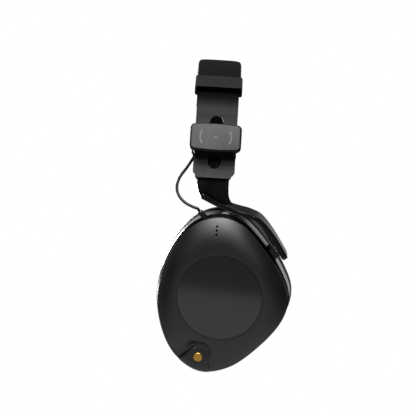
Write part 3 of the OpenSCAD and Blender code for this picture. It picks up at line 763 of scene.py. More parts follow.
def paint_side_shade(made, place):
    """Gives the short side under the dome's edge a duller black: painted shade for the narrow gap between two
    mouldings.
    """
    made.data.materials.append(SHELL)
    made.data.materials.append(PAINTED_SHADE_BLACK)
    back = place.inverted()
    for face in made.data.polygons:
        face.material_index = int(SHADED_SIDE_LOW < (back @ face.center).z < SHADED_SIDE_HIGH)


SOCKET_AXIS = (-13.5, -3.2)
SOCKET_RADIUS = 5.2
SOCKET_FROM, SOCKET_TO = -70, -36
WELL_RADIUS = 3.3
ABOVE_DOME = 12


def socket_cutter(place):
    x, level = SOCKET_AXIS
    return cutter("socket_way", placed(rod((x, SOCKET_FROM, level), (x, SOCKET_TO, level), SOCKET_RADIUS), place))


for side, place in CUPS.items():
    wired = side == "left"
    shell = as_object(f"{side}_shell", placed(shell_mesh(wired), place))
    tools = [cutter("vent", placed(rod((x, y, 2), (x, y, ABOVE_DOME), VENT_RADIUS, 20), place)) for x, y in VENTS]
    if wired:
        well = rod((*STUD, WELL_LEVEL), (*STUD, ABOVE_DOME), WELL_RADIUS)
        tools.append(cutter("stud_well", placed(well, place)))
        tools.append(socket_cutter(place))
    cut(shell, *tools)
    resoften(shell)
    paint_side_shade(shell, place)
    dress(shell, f"{side}_cup_body", None, [f"{side}_outer_shell"])

# %% [markdown]
# ## The socket's barrel
# The cable socket is a turned barrel that would look out past the cup's lower edge. A boolean
# keeps only the part of it that lies inside the cup's outline, grown by a hair.

# %% Socket barrel
SOCKET_PROUD = 0.35
barrel = merged_copy("left_jack_socket", "left_socket_barrel")
inside_outline = [at_level(grow(outline, SOCKET_PROUD), level, FOOT_RISE) for level in (-12, 8)]
cut(barrel, cutter("outline_block", placed(loft(inside_outline), LEFT_CUP)), keep="INTERSECT")
round_edges(barrel, 0.0003)
dress(barrel, "left_cup_body", SOCKET, ["left_jack_socket"])
print("barrel of", len(barrel.data.polygons), "faces")

# %% [markdown]
# ## Inlay, trim and housing
# The inlay is a disc with a fine chamfer, which draws the thin bright line round it. The trim
# and the rear housing are walls: a small profile swept round the outline. The trim keeps its
# corners sharp, because a rounding there would catch the lamp all the way round, and its front
# edge hides under the shell's. It is cut away for the tilt pivot, and both for the cable socket.
# The shell's overhang stands a little proud of the construction, so the last few millimetres of
# all three pieces are drawn in alike.

# %% Inlay disc
INLAY_RADIUS = 27.45


def disc_mesh(radius, low, high, chamfer, sides=160):
    turns = [2 * math.pi * k / sides for k in range(sides)]
    steps = [(radius, low), (radius, high - chamfer), (radius - 0.3 * chamfer, high - 0.3 * chamfer),
             (radius - chamfer, high)]
    return loft([[Vector((r * math.cos(t), r * math.sin(t), h)) for t in turns] for r, h in steps])


for side, place in CUPS.items():
    bm = placed(disc_mesh(INLAY_RADIUS, DOME - RECESS_DEEP, DOME + 0.08, 0.15), place)
    soften(bm, 20)
    dress(as_object(f"{side}_disc", bm), f"{side}_cup_body", INLAY, [f"{side}_inlay"])

# %% Trim ring and rear housing
RING_HIGH, RING_LOW = -1.8, -7.0
HOUSING_HIGH, HOUSING_LOW = -7.4, -14.0
PIVOT_ANGLE = math.radians(41)
BLOCK_WIDE = 6.6
NOTCH_IN, NOTCH_OUT, NOTCH_ROOM = 36, 56, 3.2
TRIM_PROFILE = [
    (-1.6, HOUSING_HIGH, *RING_LEAN), (0.2, HOUSING_HIGH, *RING_LEAN), (0.2, RING_LOW, *RING_LEAN),
    (1.2, RING_LOW, *RING_LEAN), (0.7, RING_HIGH, *FOOT_RISE), (0.5, RING_HIGH, *FOOT_RISE),
    (0.5, RIM_LOW, *FOOT_RISE), (-1.4, RIM_LOW, *FOOT_RISE),
]
HOUSING_PROFILE = [
    (-4, HOUSING_LOW, *LEAN), (0.8, HOUSING_LOW, *LEAN), (1.6, -11.5, *LEAN), (1.3, HOUSING_HIGH - 0.5, *LEAN),
    (0.7, HOUSING_HIGH, *LEAN), (-1.6, HOUSING_HIGH, *LEAN), (-1.6, -13.4, *LEAN), (-4, -13.4, *LEAN),
]
PLUG_RADIUS, PLUG_TO = 2.6, -46
BOX_MARGIN = 0.00002
SQUEEZE_FROM = 0.008


def within_box(*pieces):
    """Draws in the last millimetres of pieces alike, where they would stand out of the construction's box."""
    for axis in range(3):
        for side, limit in ((-1, -cad_box[0][axis] - BOX_MARGIN), (1, cad_box[1][axis] - BOX_MARGIN)):
            start = limit - SQUEEZE_FROM
            reach = max(side * v.co[axis] for made in pieces for v in made.data.vertices)
            if reach <= limit:
                continue
            for v in (v for made in pieces for v in made.data.vertices):
                beyond = side * v.co[axis] - start
                if beyond > 0:
                    v.co[axis] = side * (start + beyond * SQUEEZE_FROM / (reach - start))
    for made in pieces:
        made.data.update()


def plug_way(place):
    """Round way through the trim, so that a plug reaches the socket behind it."""
    x, level = SOCKET_AXIS
    return cutter("plug_way", placed(rod((x, SOCKET_FROM, level), (x, PLUG_TO, level), PLUG_RADIUS), place))


def notch(place):
    """Gap in the trim for the pivot block."""
    half = BLOCK_WIDE / 2 + 0.2
    far = half + NOTCH_ROOM
    corners = [(NOTCH_IN, -half), (NOTCH_OUT, -half), (NOTCH_OUT, far), (NOTCH_IN, far)]
    turn = Matrix.Rotation(PIVOT_ANGLE, 2)
    turned = [turn @ Vector(q) for q in corners]
    rings = [at_level(turned, level) for level in (HOUSING_HIGH - 1, RIM_LOW + 1)]
    return cutter("notch", placed(loft(rings), place))


for side, place in CUPS.items():
    ring = as_object(f"{side}_ring", placed(wall([Vector(q) for q in TRIM_PROFILE]), place))
    housing = as_object(f"{side}_housing", placed(wall(rounded(HOUSING_PROFILE, 0.5)), place))
    cut(ring, *([notch(place), plug_way(place)] if side == "left" else [notch(place)]))
    if side == "left":
        cut(housing, socket_cutter(place))
    resoften(ring, flat_ratio=FLAT_RATIO)
    resoften(housing, flat_ratio=FLAT_RATIO)
    within_box(bpy.data.objects[f"{side}_shell"], ring, housing)
    dress(ring, f"{side}_cup_body", TRIM, [f"{side}_trim_ring"])
    dress(housing, f"{side}_cup_body", HOUSING, [f"{side}_rear_housing"])

# %% [markdown]
# ## The lock knob
# The knob is a bar of matt plastic with soft corners, and its grey face is set in from a bevel.
# Two curved arrows are printed on the face to say that it turns.

# %% Knob
LEG_END = (0.0818862, 0, -0.0674668)
LEG_TILT = math.radians(9)
LOCK_UP = 24.4
KNOB_LONG, KNOB_TALL, KNOB_CORNER = 33, 17.5, 3
KNOB_IN, KNOB_BEVEL, KNOB_OUT, CAP_OUT = 6.4, 11.2, 11.7, 12.3
CAP_INSET = 1.1

leg = Matrix.Translation(LEG_END) @ Matrix.Rotation(-LEG_TILT, 4, "Y") @ Matrix.Scale(MM, 4)
LEFT_LOCK = leg @ Matrix.Translation((0, 0, LOCK_UP))
LOCKS = {"left": LEFT_LOCK, "right": FLIP @ LEFT_LOCK}


def knob_ring(out, inset, crown=0.5):
    """Round-cornered ring in the leg's frame, with a slight crown on its long sides."""
    wide, tall, corner = KNOB_LONG / 2 - inset, KNOB_TALL / 2 - inset, KNOB_CORNER - inset * 0.6
    ring = []
    for sx, sz, start in ((1, -1, -90), (1, 1, 0), (-1, 1, 90), (-1, -1, 180)):
        for k in range(11):
            a = math.radians(start + 9 * k)
            y, z = corner * math.cos(a), corner * math.sin(a)
            ring.append(Vector((out, sx * (wide - corner) + y, sz * (tall - corner) + z)))
        if start in (0, 180):
            reach = wide - corner
            for k in range(1, 16):
                y = sx * reach * (1 - 2 * k / 16)
                ring.append(Vector((out, y, sz * (tall + crown * (1 - (y / reach) ** 2)))))
    return ring


def knob_mesh():
    steps = [(KNOB_IN, 0.9), (KNOB_IN + 0.2, 0.45), (KNOB_IN + 0.6, 0.12), (KNOB_IN + 1.4, 0),
             (KNOB_BEVEL - 0.4, 0), (KNOB_BEVEL, 0.08), (KNOB_BEVEL + 0.2, 0.25), (KNOB_OUT - 0.1, 0.62),
             (KNOB_OUT, 0.95), (KNOB_OUT, CAP_INSET + 0.3)]
    return loft([knob_ring(*step) for step in steps])


def cap_mesh():
    steps = [(KNOB_OUT - 0.05, CAP_INSET), (CAP_OUT - 0.3, CAP_INSET), (CAP_OUT - 0.12, CAP_INSET + 0.06),
             (CAP_OUT, CAP_INSET + 0.3)]
    return loft([knob_ring(*step) for step in steps])


def arrow_points(radius, half_angle, width, head):
    """Outline of a double-headed curved arrow about the origin."""
    steps = 16
    angles = [half_angle * (2 * k / steps - 1) for k in range(steps + 1)]
    outer = [Vector(((radius + width / 2) * math.cos(a), (radius + width / 2) * math.sin(a))) for a in angles]
    inner = [Vector(((radius - width / 2) * math.cos(a), (radius - width / 2) * math.sin(a))) for a in angles]

    def tip(a, way):
        out = Vector((math.cos(a), math.sin(a)))
        along = Vector((-math.sin(a), math.cos(a))) * way
        return [radius * out + out * head * 0.75, radius * out + along * head, radius * out - out * head * 0.75]

    return outer + tip(half_angle, 1) + inner[::-1] + tip(-half_angle, -1)[::-1]


def printed_marks(place):
    bm = bmesh.new()
    marks = []
    for sign in (-1, 1):
        marks.append([Vector((sign * (q.x + 2.5), q.y)) for q in arrow_points(7.5, math.radians(25), 0.8, 1.3)])
    marks.append([Vector(q) for q in ((-1.2, -0.35), (1.2, -0.35), (1.2, 0.35), (-1.2, 0.35))])
    for mark in marks:
        face = bm.faces.new([bm.verts.new((CAP_OUT + 0.005, q.x, q.y)) for q in mark])
        made = bmesh.ops.extrude_face_region(bm, geom=[face])
        moved = [v for v in made["geom"] if isinstance(v, bmesh.types.BMVert)]
        bmesh.ops.translate(bm, verts=moved, vec=(0.03, 0, 0))
    bmesh.ops.triangulate(bm, faces=[f for f in bm.faces if len(f.verts) > 4])
    bmesh.ops.recalc_face_normals(bm, faces=bm.faces)
    return placed(bm, place)


MARK = moulded("pale_print", 0.23, 0.5, drift=0.08)
for side, place in LOCKS.items():
    knob = placed(knob_mesh(), place)
    soften(knob)
    dress(as_object(f"{side}_knob", knob), f"{side}_knob_body", KNOB, [f"{side}_lock_knob"])
    cap = placed(cap_mesh(), place)
    soften(cap)
    dress(as_object(f"{side}_knob_face", cap), f"{side}_knob_body", KNOB_FACE, [f"{side}_knob_cap"])
    dress(as_object(f"{side}_turn_arrows", printed_marks(place)), f"{side}_knob_body", MARK)

# %% [markdown]
# ## The arms
# One moulding runs from the strip behind the leg into a bar that bends round the cup. Strip and
# bar are two plain forms, a plate with rounded edges and a rounded section swept along a line, and
# a boolean joins them. Both keep their own clean rings, so that the gloss runs along them unbroken.

# %% Arm forms
BAR_FRONT = [(-14.5, 65.2), (-4, 60.2), (6, 56.4), (17, 53.2), (24, 49.6), (32, 40), (41, 26)]
BAR_THICK = 2.6
BAR_SWELL, SWELL_FROM, SWELL_TO = 1.5, 18, 34
BAR_LEVEL = -1
BAR_SLANT = math.radians(14)
BAR_BACK = [(-30, -6.4), (4, -9.4), (14, -11), (60, -11)]
STRIP_IN, STRIP_OUT = -5.2, -2.2
STRIP_HALF = 10.25
STRIP_TOP = 31.8
STRIP_CORNER = [(0, -15.2), (5, -15.7), (9, -16.3), (14, -17.5), (18, -19.6), (13.6, -15.8), (11.6, -13), (10.6, -10),
                (10.25, -6)]


def back_level(x):
    """Level of the bar's back edge at a place along the cup."""
    for (x0, a), (x1, b) in zip(BAR_BACK, BAR_BACK[1:]):
        if x <= x1:
            return a + (b - a) * (x - x0) / (x1 - x0)
    return BAR_BACK[-1][1]


def bar_mesh():
    slanted = [(x, y * math.cos(BAR_SLANT) + BAR_LEVEL * math.sin(BAR_SLANT)) for x, y in BAR_FRONT]
    line = open_curve(slanted, 14)
    rings = []
    for i, p in enumerate(line):
        swell = BAR_SWELL * max(0, min(1, (p.x - SWELL_FROM) / (SWELL_TO - SWELL_FROM)))
        along = (line[min(i + 1, len(line) - 1)] - line[max(i - 1, 0)]).normalized()
        under = Vector((along.y, -along.x))
        inset = {0: 0.3, 1: 0.05}.get(min(i, len(line) - 1 - i), 0)
        low, high = back_level(p.x) + inset, BAR_LEVEL - inset
        section = rounded([(inset, high), (inset, low), (BAR_THICK - inset, low), (BAR_THICK - inset, high)], 0.5)
        ring = []
        for depth, level in section:
            front = (level - low) / (high - low)
            q = p + (depth - swell * front * (1 - depth / BAR_THICK)) * under
            away = (level - q.y * math.sin(BAR_SLANT)) / math.cos(BAR_SLANT)
            ring.append(Vector((q.x, q.y * math.cos(BAR_SLANT) - away * math.sin(BAR_SLANT), level)))
        rings.append(ring)
    return loft(rings)


def strip_mesh():
    """Plate behind the leg, whose lower corner sweeps out along the bar."""
    w, top = STRIP_HALF, STRIP_TOP
    corner = [(q.x, q.y) for q in open_curve([Vector(q) for q in STRIP_CORNER[4:]], 6)]
    line = [(-w + 1.5, top), (-w, top - 1.5), (-w, -4), (-w + 1.4, -9.5), (-w + 3, -12.4)] + STRIP_CORNER[:4]
    line += corner + [(w, top - 1.5), (w - 1.5, top)]
    return loft([[Vector((x, y, z)) for y, z in line] for x in (STRIP_IN, STRIP_OUT)])


# %% Arms
arm = as_object("left_arm_shape", placed(bar_mesh(), LEFT_CUP))
strip = round_edges(as_object("strip", placed(strip_mesh(), leg)), 0.0005, degrees=50)
union = arm.modifiers.new("union", "BOOLEAN")
union.operation = "UNION"
union.object = strip
union.solver = "EXACT"
evaluated_mesh(arm)
bpy.data.objects.remove(strip)
resoften(arm, 35, FLAT_RATIO)
twin = mirrored(arm, "right_arm_shape")
resoften(twin, 35, FLAT_RATIO)
dress(arm, "left_arm_body", ARM, ["left_arm"])
dress(twin, "right_arm_body", ARM, ["right_arm"])

# %% [markdown]
# ## The spring band
# The band is a flat strip of steel bent to three arcs and two straight legs. It is swept as a
# rectangle with a station every degree, so its curve has no facets, then each leg is slotted and
# its corners are cut before a fine bevel goes round every edge.

# %% Spring band
BAND_WIDE, BAND_THICK, CROWN_RADIUS, CROWN_END = 27, 1.2, 104, 40
SHOULDER_RADIUS = 25
BAND_TOP = 12.6
CROWN_Z = BAND_TOP - CROWN_RADIUS
SLOT_WIDE, SLOT_LOW, SLOT_HIGH = 8.4, 6, 41
LEG_CORNER = 4


def band_stations():
    """Middle point and outward direction of the band, from the crown down the left leg."""
    reach = CROWN_RADIUS - SHOULDER_RADIUS
    end = math.radians(CROWN_END)
    shoulder = Vector((reach * math.sin(end), CROWN_Z + reach * math.cos(end)))
    stations = []
    for degrees in range(0, 81, 1):
        out = Vector((math.sin(math.radians(degrees)), math.cos(math.radians(degrees))))
        centre, radius = (Vector((0, CROWN_Z)), CROWN_RADIUS) if degrees <= CROWN_END else (shoulder, SHOULDER_RADIUS)
        stations.append((centre + radius * out, out))
    out = Vector((math.cos(LEG_TILT), math.sin(LEG_TILT)))
    return stations + [(shoulder + SHOULDER_RADIUS * out, out), (Vector((LEG_END[0], LEG_END[2])) / MM, out)]


def band_mesh():
    half = band_stations()
    whole = [(Vector((-p.x, p.y)), Vector((-n.x, n.y))) for p, n in half[:0:-1]] + half
    t, w = BAND_THICK / 2, BAND_WIDE / 2
    rings = []
    for p, n in whole:
        corners = ((p - t * n, -w), (p + t * n, -w), (p + t * n, w), (p - t * n, w))
        rings.append([Vector((q.x, y, q.y)) for q, y in corners])
    return loft(rings)


def leg_prism(line):
    """Cutter through the leg, from a line in the leg's own plane."""
    return loft([[Vector((x, y, z)) for y, z in line] for x in (-8, 8)])


def slot_line():
    r = SLOT_WIDE / 2
    turns = [math.pi * k / 24 for k in range(25)]
    top = [(r * math.cos(t), SLOT_HIGH - r + r * math.sin(t)) for t in turns]
    return top + [(-r * math.cos(t), SLOT_LOW + r - r * math.sin(t)) for t in turns]


def corner_line(way):
    w, c = BAND_WIDE / 2, LEG_CORNER
    line = [(w - c, -0.2), (w - c * 0.72, c * 0.12), (w - c * 0.38, c * 0.42), (w - c * 0.11, c * 0.75), (w + 0.2, c),
            (w + 1, -0.2)]
    return [(way * y, z) for y, z in line]


band = as_object("band_shape", placed(band_mesh(), Matrix.Scale(MM, 4)))
RIGHT_LEG = FLIP @ leg
lines = [slot_line(), corner_line(1), corner_line(-1)]
cut(band, *[cutter("leg_cut", placed(leg_prism(line), place)) for place in (leg, RIGHT_LEG) for line in lines])
round_edges(band, 0.00016)
dress(band, "headband", SPRING, ["headband_spring"])

# %% [markdown]
# ## Padding that has been filled
# A cushion looks stuffed when its cloth is pushed out from inside and held at its edges. The
# closed form is remeshed to even squares, Cloth with pressure swells it for a few frames, and no
# point may move further than a cap. Where it rests on something it is pressed flat again.


# %% Puffing a pad
PUFF_FRAMES = 16
PUFF_PRESSURE = 4.0


def puffed(name, bm, voxel, cap, settle):
    """Closed form swelled from inside; settle moves a point back onto what it rests on."""
    pad = as_object(name, bm)
    remesh = pad.modifiers.new("even", "REMESH")
    remesh.mode = "VOXEL"
    remesh.voxel_size = voxel
    evaluated_mesh(pad)
    start = [v.co.copy() for v in pad.data.vertices]
    cloth = pad.modifiers.new("fill", "CLOTH")
    cloth.settings.use_pressure = True
    cloth.settings.uniform_pressure_force = PUFF_PRESSURE
    cloth.settings.tension_stiffness = 25
    cloth.settings.compression_stiffness = 25
    cloth.settings.bending_stiffness = 2
    cloth.settings.effector_weights.gravity = 0
    cloth.point_cache.frame_end = PUFF_FRAMES
    for step in range(1, PUFF_FRAMES + 1):
        SCENE.frame_set(step)
    evaluated_mesh(pad)
    SCENE.frame_set(1)
    for vertex, origin in zip(pad.data.vertices, start):
        move = vertex.co - origin
        if move.length > cap:
            move *= cap / move.length
        vertex.co = settle(origin + move)
    smooth = pad.modifiers.new("relax", "SMOOTH")
    smooth.iterations = 3
    finer = pad.modifiers.new("finer", "SUBSURF")
    finer.levels = finer.render_levels = 1
    evaluated_mesh(pad)
    pad.data.shade_smooth()
    return pad


# %% [markdown]
# ## Stitches
# Stitches repeat along a line, which is what Geometry Nodes are for. The tree turns a line of
# edges into a curve, walks along it at a fixed gap, and lays a small long bead on each step. A
# seam also draws its pad in, and the line of its stitches is brought onto the puffed surface.

# %% Stitch tree
def stitch_tree(material):
    tree = bpy.data.node_groups.new("stitches", "GeometryNodeTree")
    tree.interface.new_socket("Line", in_out="INPUT", socket_type="NodeSocketGeometry")
    for label, value in (("Gap", 0.003), ("Length", 0.002), ("Thickness", 0.0005)):
        tree.interface.new_socket(label, in_out="INPUT", socket_type="NodeSocketFloat").default_value = value
    tree.interface.new_socket("Stitches", in_out="OUTPUT", socket_type="NodeSocketGeometry")
    add, link = tree.nodes.new, tree.links.new
    given, made = add("NodeGroupInput"), add("NodeGroupOutput")
    curve, steps = add("GeometryNodeMeshToCurve"), add("GeometryNodeResampleCurve")
    steps.mode = "LENGTH"
    bead, size = add("GeometryNodeMeshUVSphere"), add("ShaderNodeCombineXYZ")
    bead.inputs["Segments"].default_value = 8
    bead.inputs["Rings"].default_value = 6
    bead.inputs["Radius"].default_value = 0.5
    shape, stand = add("GeometryNodeTransform"), add("GeometryNodeInstanceOnPoints")
    tangent, turn = add("GeometryNodeInputTangent"), add("FunctionNodeAlignRotationToVector")
    turn.axis = "Z"
    real, paint = add("GeometryNodeRealizeInstances"), add("GeometryNodeSetMaterial")
    paint.inputs["Material"].default_value = material
    link(given.outputs["Line"], curve.inputs["Mesh"])
    link(curve.outputs["Curve"], steps.inputs["Curve"])
    link(given.outputs["Gap"], steps.inputs["Length"])
    link(given.outputs["Thickness"], size.inputs["X"])
    link(given.outputs["Thickness"], size.inputs["Y"])
    link(given.outputs["Length"], size.inputs["Z"])
    link(bead.outputs["Mesh"], shape.inputs["Geometry"])
    link(size.outputs["Vector"], shape.inputs["Scale"])
    link(steps.outputs["Curve"], stand.inputs["Points"])
    link(shape.outputs["Geometry"], stand.inputs["Instance"])
    link(tangent.outputs["Tangent"], turn.inputs["Vector"])
    link(turn.outputs["Rotation"], stand.inputs["Rotation"])
    link(stand.outputs["Instances"], real.inputs["Geometry"])
    link(real.outputs["Geometry"], paint.inputs["Geometry"])
    link(paint.outputs["Geometry"], made.inputs["Stitches"])
    return tree


THREAD = moulded("thread", 0.02, 0.7, drift=0.3)
STITCHES = stitch_tree(THREAD)
STITCH = {"Gap": 0.0032, "Length": 0.0022, "Thickness": 0.0005}
STITCH_PROUD = 0.0001


def line_object(name, points, closed):
    mesh = bpy.data.meshes.new(name)
    edges = [(i, i + 1) for i in range(len(points) - 1)] + ([(len(points) - 1, 0)] if closed else [])
    mesh.from_pydata([tuple(p) for p in points], edges, [])
    made = bpy.data.objects.new(name, mesh)
    SCENE.collection.objects.link(made)
    return made


def stitched(name, points, closed, **sizes):
    made = line_object(name, points, closed)
    nodes = made.modifiers.new("stitches", "NODES")
    nodes.node_group = STITCHES
    for item in STITCHES.interface.items_tree:
        if item.in_out == "INPUT" and item.name in sizes:
            nodes[item.identifier] = sizes[item.name]
    evaluated_mesh(made)
    made.data.shade_smooth()
    return made


def on_surface(made, points, proud=0.0):
    """Points of a line brought onto a piece's surface."""
    found = [made.closest_point_on_mesh(p) for p in points]
    return [place + normal * proud for _, place, normal, _ in found]


def pinched(made, line, deep, reach):
    """Draws a pad in along a seam."""
    tree = KDTree(len(line))
    for i, p in enumerate(line):
        tree.insert(p, i)
    tree.balance()
    normals = [v.normal.copy() for v in made.data.vertices]
    for v, normal in zip(made.data.vertices, normals):
        apart = tree.find(v.co)[2]
        v.co -= normal * deep * math.exp(-(apart / reach) ** 2)
    made.data.update()
    return made


# %% [markdown]
# ## Ear cushions
# Each cushion is a fat ring that rests flat on the housing. Its opening is an oval drawn in from
# the same outline. The form starts a little slim, so that its cloth can swell into place. Two
# seams draw it in afterwards: a stitched one round the outside and a plain one in the opening.

# %% Ear cushions
CUSHION_BASE = -14.0
CUSHION_DEEP = 22.4
CUSHION_SLIM = 1.2
EAR_HOLE_WIDE, EAR_HOLE_TALL = 0.49, 0.58
SEAM_ANGLES = (38, 146)
SEAM_DEEP, SEAM_REACH = 0.0006, 0.0015

ear_hole = [Vector((q.x * EAR_HOLE_WIDE, q.y * EAR_HOLE_TALL)) + LEAN for q in outline]
cushion_line = [q + LEAN for q in grow(outline, 0.7)]


def cushion_ring(angle, slim):
    s = math.sin(angle) ** 0.83
    c = math.copysign(abs(math.cos(angle)) ** 0.83, math.cos(angle))
    share = 0.5 + c / 2
    slack = slim / (cushion_line[0] - ear_hole[0]).length
    share = slack + share * (1 - 2 * slack)
    level = CUSHION_BASE - 0.3 - (CUSHION_DEEP - slim - 0.3) * s
    return at_level([a.lerp(b, share) for a, b in zip(ear_hole, cushion_line)], level)


def cushion_form(slim):
    return loft([cushion_ring(math.radians(180 - 7.5 * k), slim) for k in range(25)], looped=True)


to_cup = LEFT_CUP.inverted()


def rest_on_housing(point):
    local = to_cup @ point
    local.z = min(local.z, CUSHION_BASE - 0.05)
    return LEFT_CUP @ local


cushion = puffed("left_cushion_shape", placed(cushion_form(CUSHION_SLIM), LEFT_CUP), 0.0028, 0.005, rest_on_housing)
seams = []
for angle in SEAM_ANGLES:
    seam = on_surface(cushion, [LEFT_CUP @ p for p in cushion_ring(math.radians(angle), 0)])
    pinched(cushion, seam, SEAM_DEEP, SEAM_REACH)
    seams.append(on_surface(cushion, seam, STITCH_PROUD))
seam_line = stitched("left_cushion_stitches", seams[0], True, **STITCH)
twin = mirrored(cushion, "right_cushion_shape")
seam_twin = mirrored(seam_line, "right_cushion_stitches")
for side, pad, seam in (("left", cushion, seam_line), ("right", twin, seam_twin)):
    dress(pad, f"{side}_cup_body", CUSHION, [f"{side}_ear_cushion"])
    dress(seam, f"{side}_cup_body", THREAD)

# %% [markdown]
# ## Crown pad
# The cushion under the band is deepest at the crown and thins towards the collars. The cover
# wraps the band above it. Both follow the band's arc, so they are built in its polar frame, and
# a row of stitches holds each hem of the cover.

# %% Crown pad
PAD_END = math.radians(32.7)
PAD_WIDE = 28.5
COVER_HIGH = 2.8
HEM_UP, HEM_IN = 0.55, 0.12
PAD_DEEP, PAD_THIN = 12, 6.5
BAND_IN = CROWN_RADIUS - BAND_THICK / 2
BAND_OUT = CROWN_RADIUS + BAND_THICK / 2
CROWN = Matrix.Scale(MM, 4)


def on_arc(radius, across, angle):
    return Vector((radius * math.sin(angle), across, CROWN_Z + radius * math.cos(angle)))


def crown_ring(angle, slim):
    share = abs(angle / PAD_END)
    deep = PAD_DEEP + (PAD_THIN - PAD_DEEP) * share ** 2.4
    half = PAD_WIDE / 2 - 0.7 * share ** 6 - slim
    ring = []
    for k in range(33):
        t = math.pi * k / 32
        c = math.copysign(abs(math.cos(t)) ** 0.6, math.cos(t))
        ring.append(on_arc(BAND_IN - 0.7 - (deep - 0.7 - slim) * math.sin(t) ** 0.6, half * c, angle))
    return ring


def rest_on_band(point):
    local = point / MM - Vector((0, 0, CROWN_Z))
    radius = math.hypot(local.x, local.z)
    keep = min(radius, BAND_IN - 0.65)
    angle = max(-PAD_END, min(PAD_END, math.atan2(local.x, local.z)))
    half = PAD_WIDE / 2 + 0.4
    return on_arc(keep, max(-half, min(half, local.y)), angle) * MM


crown_form = loft([crown_ring(PAD_END * (k / 20 - 1), 0.8) for k in range(41)])
crown_pad = puffed("crown_pad", placed(crown_form, CROWN), 0.0028, 0.004, rest_on_band)
dress(crown_pad, "headband", PAD, ["crown_cushion"])


def cover_profile():
    top = []
    for k in range(41):
        t = math.pi * k / 40
        c = math.copysign(abs(math.cos(t)) ** 0.45, math.cos(t))
        top.append((BAND_OUT + 0.4 + (COVER_HIGH - 0.4) * math.sin(t) ** 0.5, PAD_WIDE / 2 * c))
    half = PAD_WIDE / 2
    return top + [(BAND_IN - 0.6, -half), (BAND_IN - 0.6, -half + 0.6), (BAND_OUT + 0.02, -half + 0.62),
                  (BAND_OUT + 0.02, half - 0.62), (BAND_IN - 0.6, half - 0.6), (BAND_IN - 0.6, half)]


cover_rings = [[on_arc(r, y, PAD_END * (k / 60 - 1)) for r, y in cover_profile()] for k in range(121)]
cover = placed(loft(cover_rings), CROWN)
soften(cover, 40)
cover = dress(as_object("crown_cover_shape", cover), "headband", PAD, ["crown_cover"])
for side, across in (("left", -1), ("right", 1)):
    edge = across * (PAD_WIDE / 2 - HEM_IN)
    hem = [on_arc(BAND_OUT + HEM_UP, edge, PAD_END * (k / 100 - 1)) * MM for k in range(4, 197)]
    row = stitched(f"crown_hem_{side}", on_surface(cover, hem, STITCH_PROUD), False, **STITCH)
    dress(row, "headband", THREAD)

# %% [markdown]
# ## Light and floor
# A black object is drawn by what it mirrors. The camera sees a white backdrop, and the trim
# mirrors it too, but only behind the object and up to a height, so that the blacks in front stay
# deep. The floor is pale, and in a mirror it is pale only on a strip before the object, which
# lights the lower half of the gloss disc. A broad lamp high in front draws the highlight on the
# dome, a dim one under it fills the band, and a level one behind lights the far cup.

# %% World
MIRRORED_WHITE = 0.5
BEHIND = (-0.15, -0.6)
BELOW_TOP = (0.85, 0.6)
ROOM_STRENGTH = 0.02

world = bpy.data.worlds.new("studio")
SCENE.world = world
world.use_nodes = True
tree = world.node_tree


def world_maths(operation, *values):
    node = tree.nodes.new("ShaderNodeMath")
    node.operation = operation
    for socket, value in zip(node.inputs, values):
        if isinstance(value, (int, float)):
            socket.default_value = value
        else:
            tree.links.new(value, socket)
    return node.outputs["Value"]


seen = tree.nodes.new("ShaderNodeLightPath").outputs
heading = tree.nodes.new("ShaderNodeSeparateXYZ")
tree.links.new(tree.nodes.new("ShaderNodeTexCoord").outputs["Generated"], heading.inputs["Vector"])


def world_fade(axis, start, end):
    """Goes from 0 to 1 as a direction's part along an axis goes from start to end."""
    fade = tree.nodes.new("ShaderNodeMapRange")
    fade.interpolation_type = "SMOOTHSTEP"
    fade.inputs["From Min"].default_value = start
    fade.inputs["From Max"].default_value = end
    tree.links.new(heading.outputs[axis], fade.inputs["Value"])
    return fade.outputs["Result"]


backdrop = world_maths("MULTIPLY", world_fade("X", *BEHIND), world_fade("Z", *BELOW_TOP))
in_mirror = world_maths("MULTIPLY", seen["Is Glossy Ray"], MIRRORED_WHITE)
mirrored_white = world_maths("MULTIPLY", backdrop, in_mirror)
white_share = world_maths("MAXIMUM", world_maths("MAXIMUM", seen["Is Camera Ray"], seen["Is Transmission Ray"]),
                          mirrored_white)
room = tree.nodes["Background"]
room.inputs["Color"].default_value = (0.8, 0.8, 0.82, 1)
room.inputs["Strength"].default_value = ROOM_STRENGTH
white = tree.nodes.new("ShaderNodeBackground")
white.inputs["Color"].default_value = (1, 1, 1, 1)
white.inputs["Strength"].default_value = 1.0
pick = tree.nodes.new("ShaderNodeMixShader")
tree.links.new(white_share, pick.inputs["Fac"])
tree.links.new(room.outputs["Background"], pick.inputs[1])
tree.links.new(white.outputs["Background"], pick.inputs[2])
tree.links.new(pick.outputs["Shader"], tree.nodes["World Output"].inputs["Surface"])

# %% Floor
FLOOR_Z = -0.30
FLOOR_HALF = 3.0
PALE_TO = 0.42
PALE_HALF = 0.22
MIRRORED_FLOOR = 0.5
FLOOR_SHADE, FLOOR_UNSEEN = 0.82, 0.12
WHITE_BETWEEN = (0.36, 0.5)
STRIP_FADE = 0.12


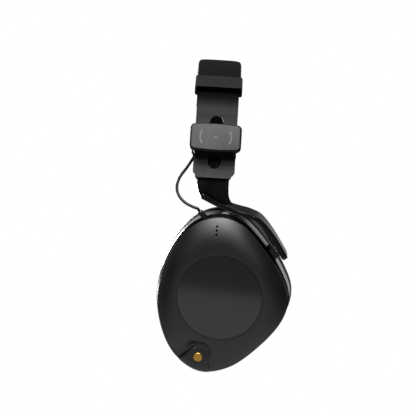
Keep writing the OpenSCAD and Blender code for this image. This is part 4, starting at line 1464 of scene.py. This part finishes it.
def floor_finish():
    """Pale floor for the camera, white further off, and in mirrors pale only on a strip before the object."""
    finish = Finish("floor", Roughness=0.9)
    here = finish.place()
    apart = finish.add("ShaderNodeSeparateXYZ", None, here, out="X")
    aside = finish.add("ShaderNodeSeparateXYZ", None, here, out="Y")
    distance = finish.add("ShaderNodeVectorMath", {"operation": "LENGTH"}, here, out="Value")
    seen = finish.add("ShaderNodeLightPath", out="Is Camera Ray")

    def fade(value, start, end):
        return finish.add("ShaderNodeMapRange", {"interpolation_type": "SMOOTHSTEP"}, value, start, end)

    wide = finish.add("ShaderNodeMath", {"operation": "ABSOLUTE"}, aside)
    near = (1 - apart.above(PALE_TO)) * fade(wide, PALE_HALF + STRIP_FADE, PALE_HALF - STRIP_FADE)
    mirrored = finish.add("ShaderNodeLightPath", out="Is Glossy Ray") * near
    finish.feed(Base_Color=finish.blend(seen, grey(FLOOR_UNSEEN), grey(FLOOR_SHADE)))
    share = fade(distance, *WHITE_BETWEEN)
    glow = finish.add("ShaderNodeEmission", None, Color=(1, 1, 1, 1), Strength=1.0, out="Emission")
    out = finish.tree.nodes["Material Output"]
    pale = finish.add("ShaderNodeEmission", None, Color=(1, 1, 1, 1), Strength=MIRRORED_FLOOR, out="Emission")
    plain = Wire(finish, finish.shader.outputs["BSDF"])
    body = finish.add("ShaderNodeMixShader", None, mirrored, plain, pale, out="Shader")
    mix = finish.add("ShaderNodeMixShader", None, seen * share, body, glow, out="Shader")
    finish.tree.links.new(mix.socket, out.inputs["Surface"])
    return finish.material


sheet = bmesh.new()
corners = ((-1, -1), (1, -1), (1, 1), (-1, 1))
sheet.faces.new([sheet.verts.new((x * FLOOR_HALF, y * FLOOR_HALF, FLOOR_Z)) for x, y in corners])
floor = as_object("floor", sheet)
floor.data.materials.append(floor_finish())

# %% Lamps
NEAR_CUP, FAR_CUP = (0.08, 0.0, -0.08), (-0.08, 0.0, -0.1)
LAMPS = [
    # name, place, aim, width, height, watts
    ("front_high", (0.79, -0.2, 0.83), NEAR_CUP, 0.75, 0.46, 15.5),
    ("front_low", (1.07, -0.05, 0.52), NEAR_CUP, 0.9, 0.2, 1.8),
    ("back_level", (-1.16, -0.28, -0.03), FAR_CUP, 0.6, 0.4, 14.0),
]


def add_lamp(name, place, aim, wide, tall, watts):
    data = bpy.data.lights.new(name, "AREA")
    data.shape = "RECTANGLE"
    data.size, data.size_y = wide, tall
    data.energy = watts
    lamp = bpy.data.objects.new(name, data)
    lamp.location = place
    lamp.rotation_euler = (Vector(aim) - Vector(place)).to_track_quat("-Z", "Y").to_euler()
    lamp.visible_camera = False
    SCENE.collection.objects.link(lamp)


for lamp in LAMPS:
    add_lamp(*lamp)
print(len(LAMPS), "lamps")
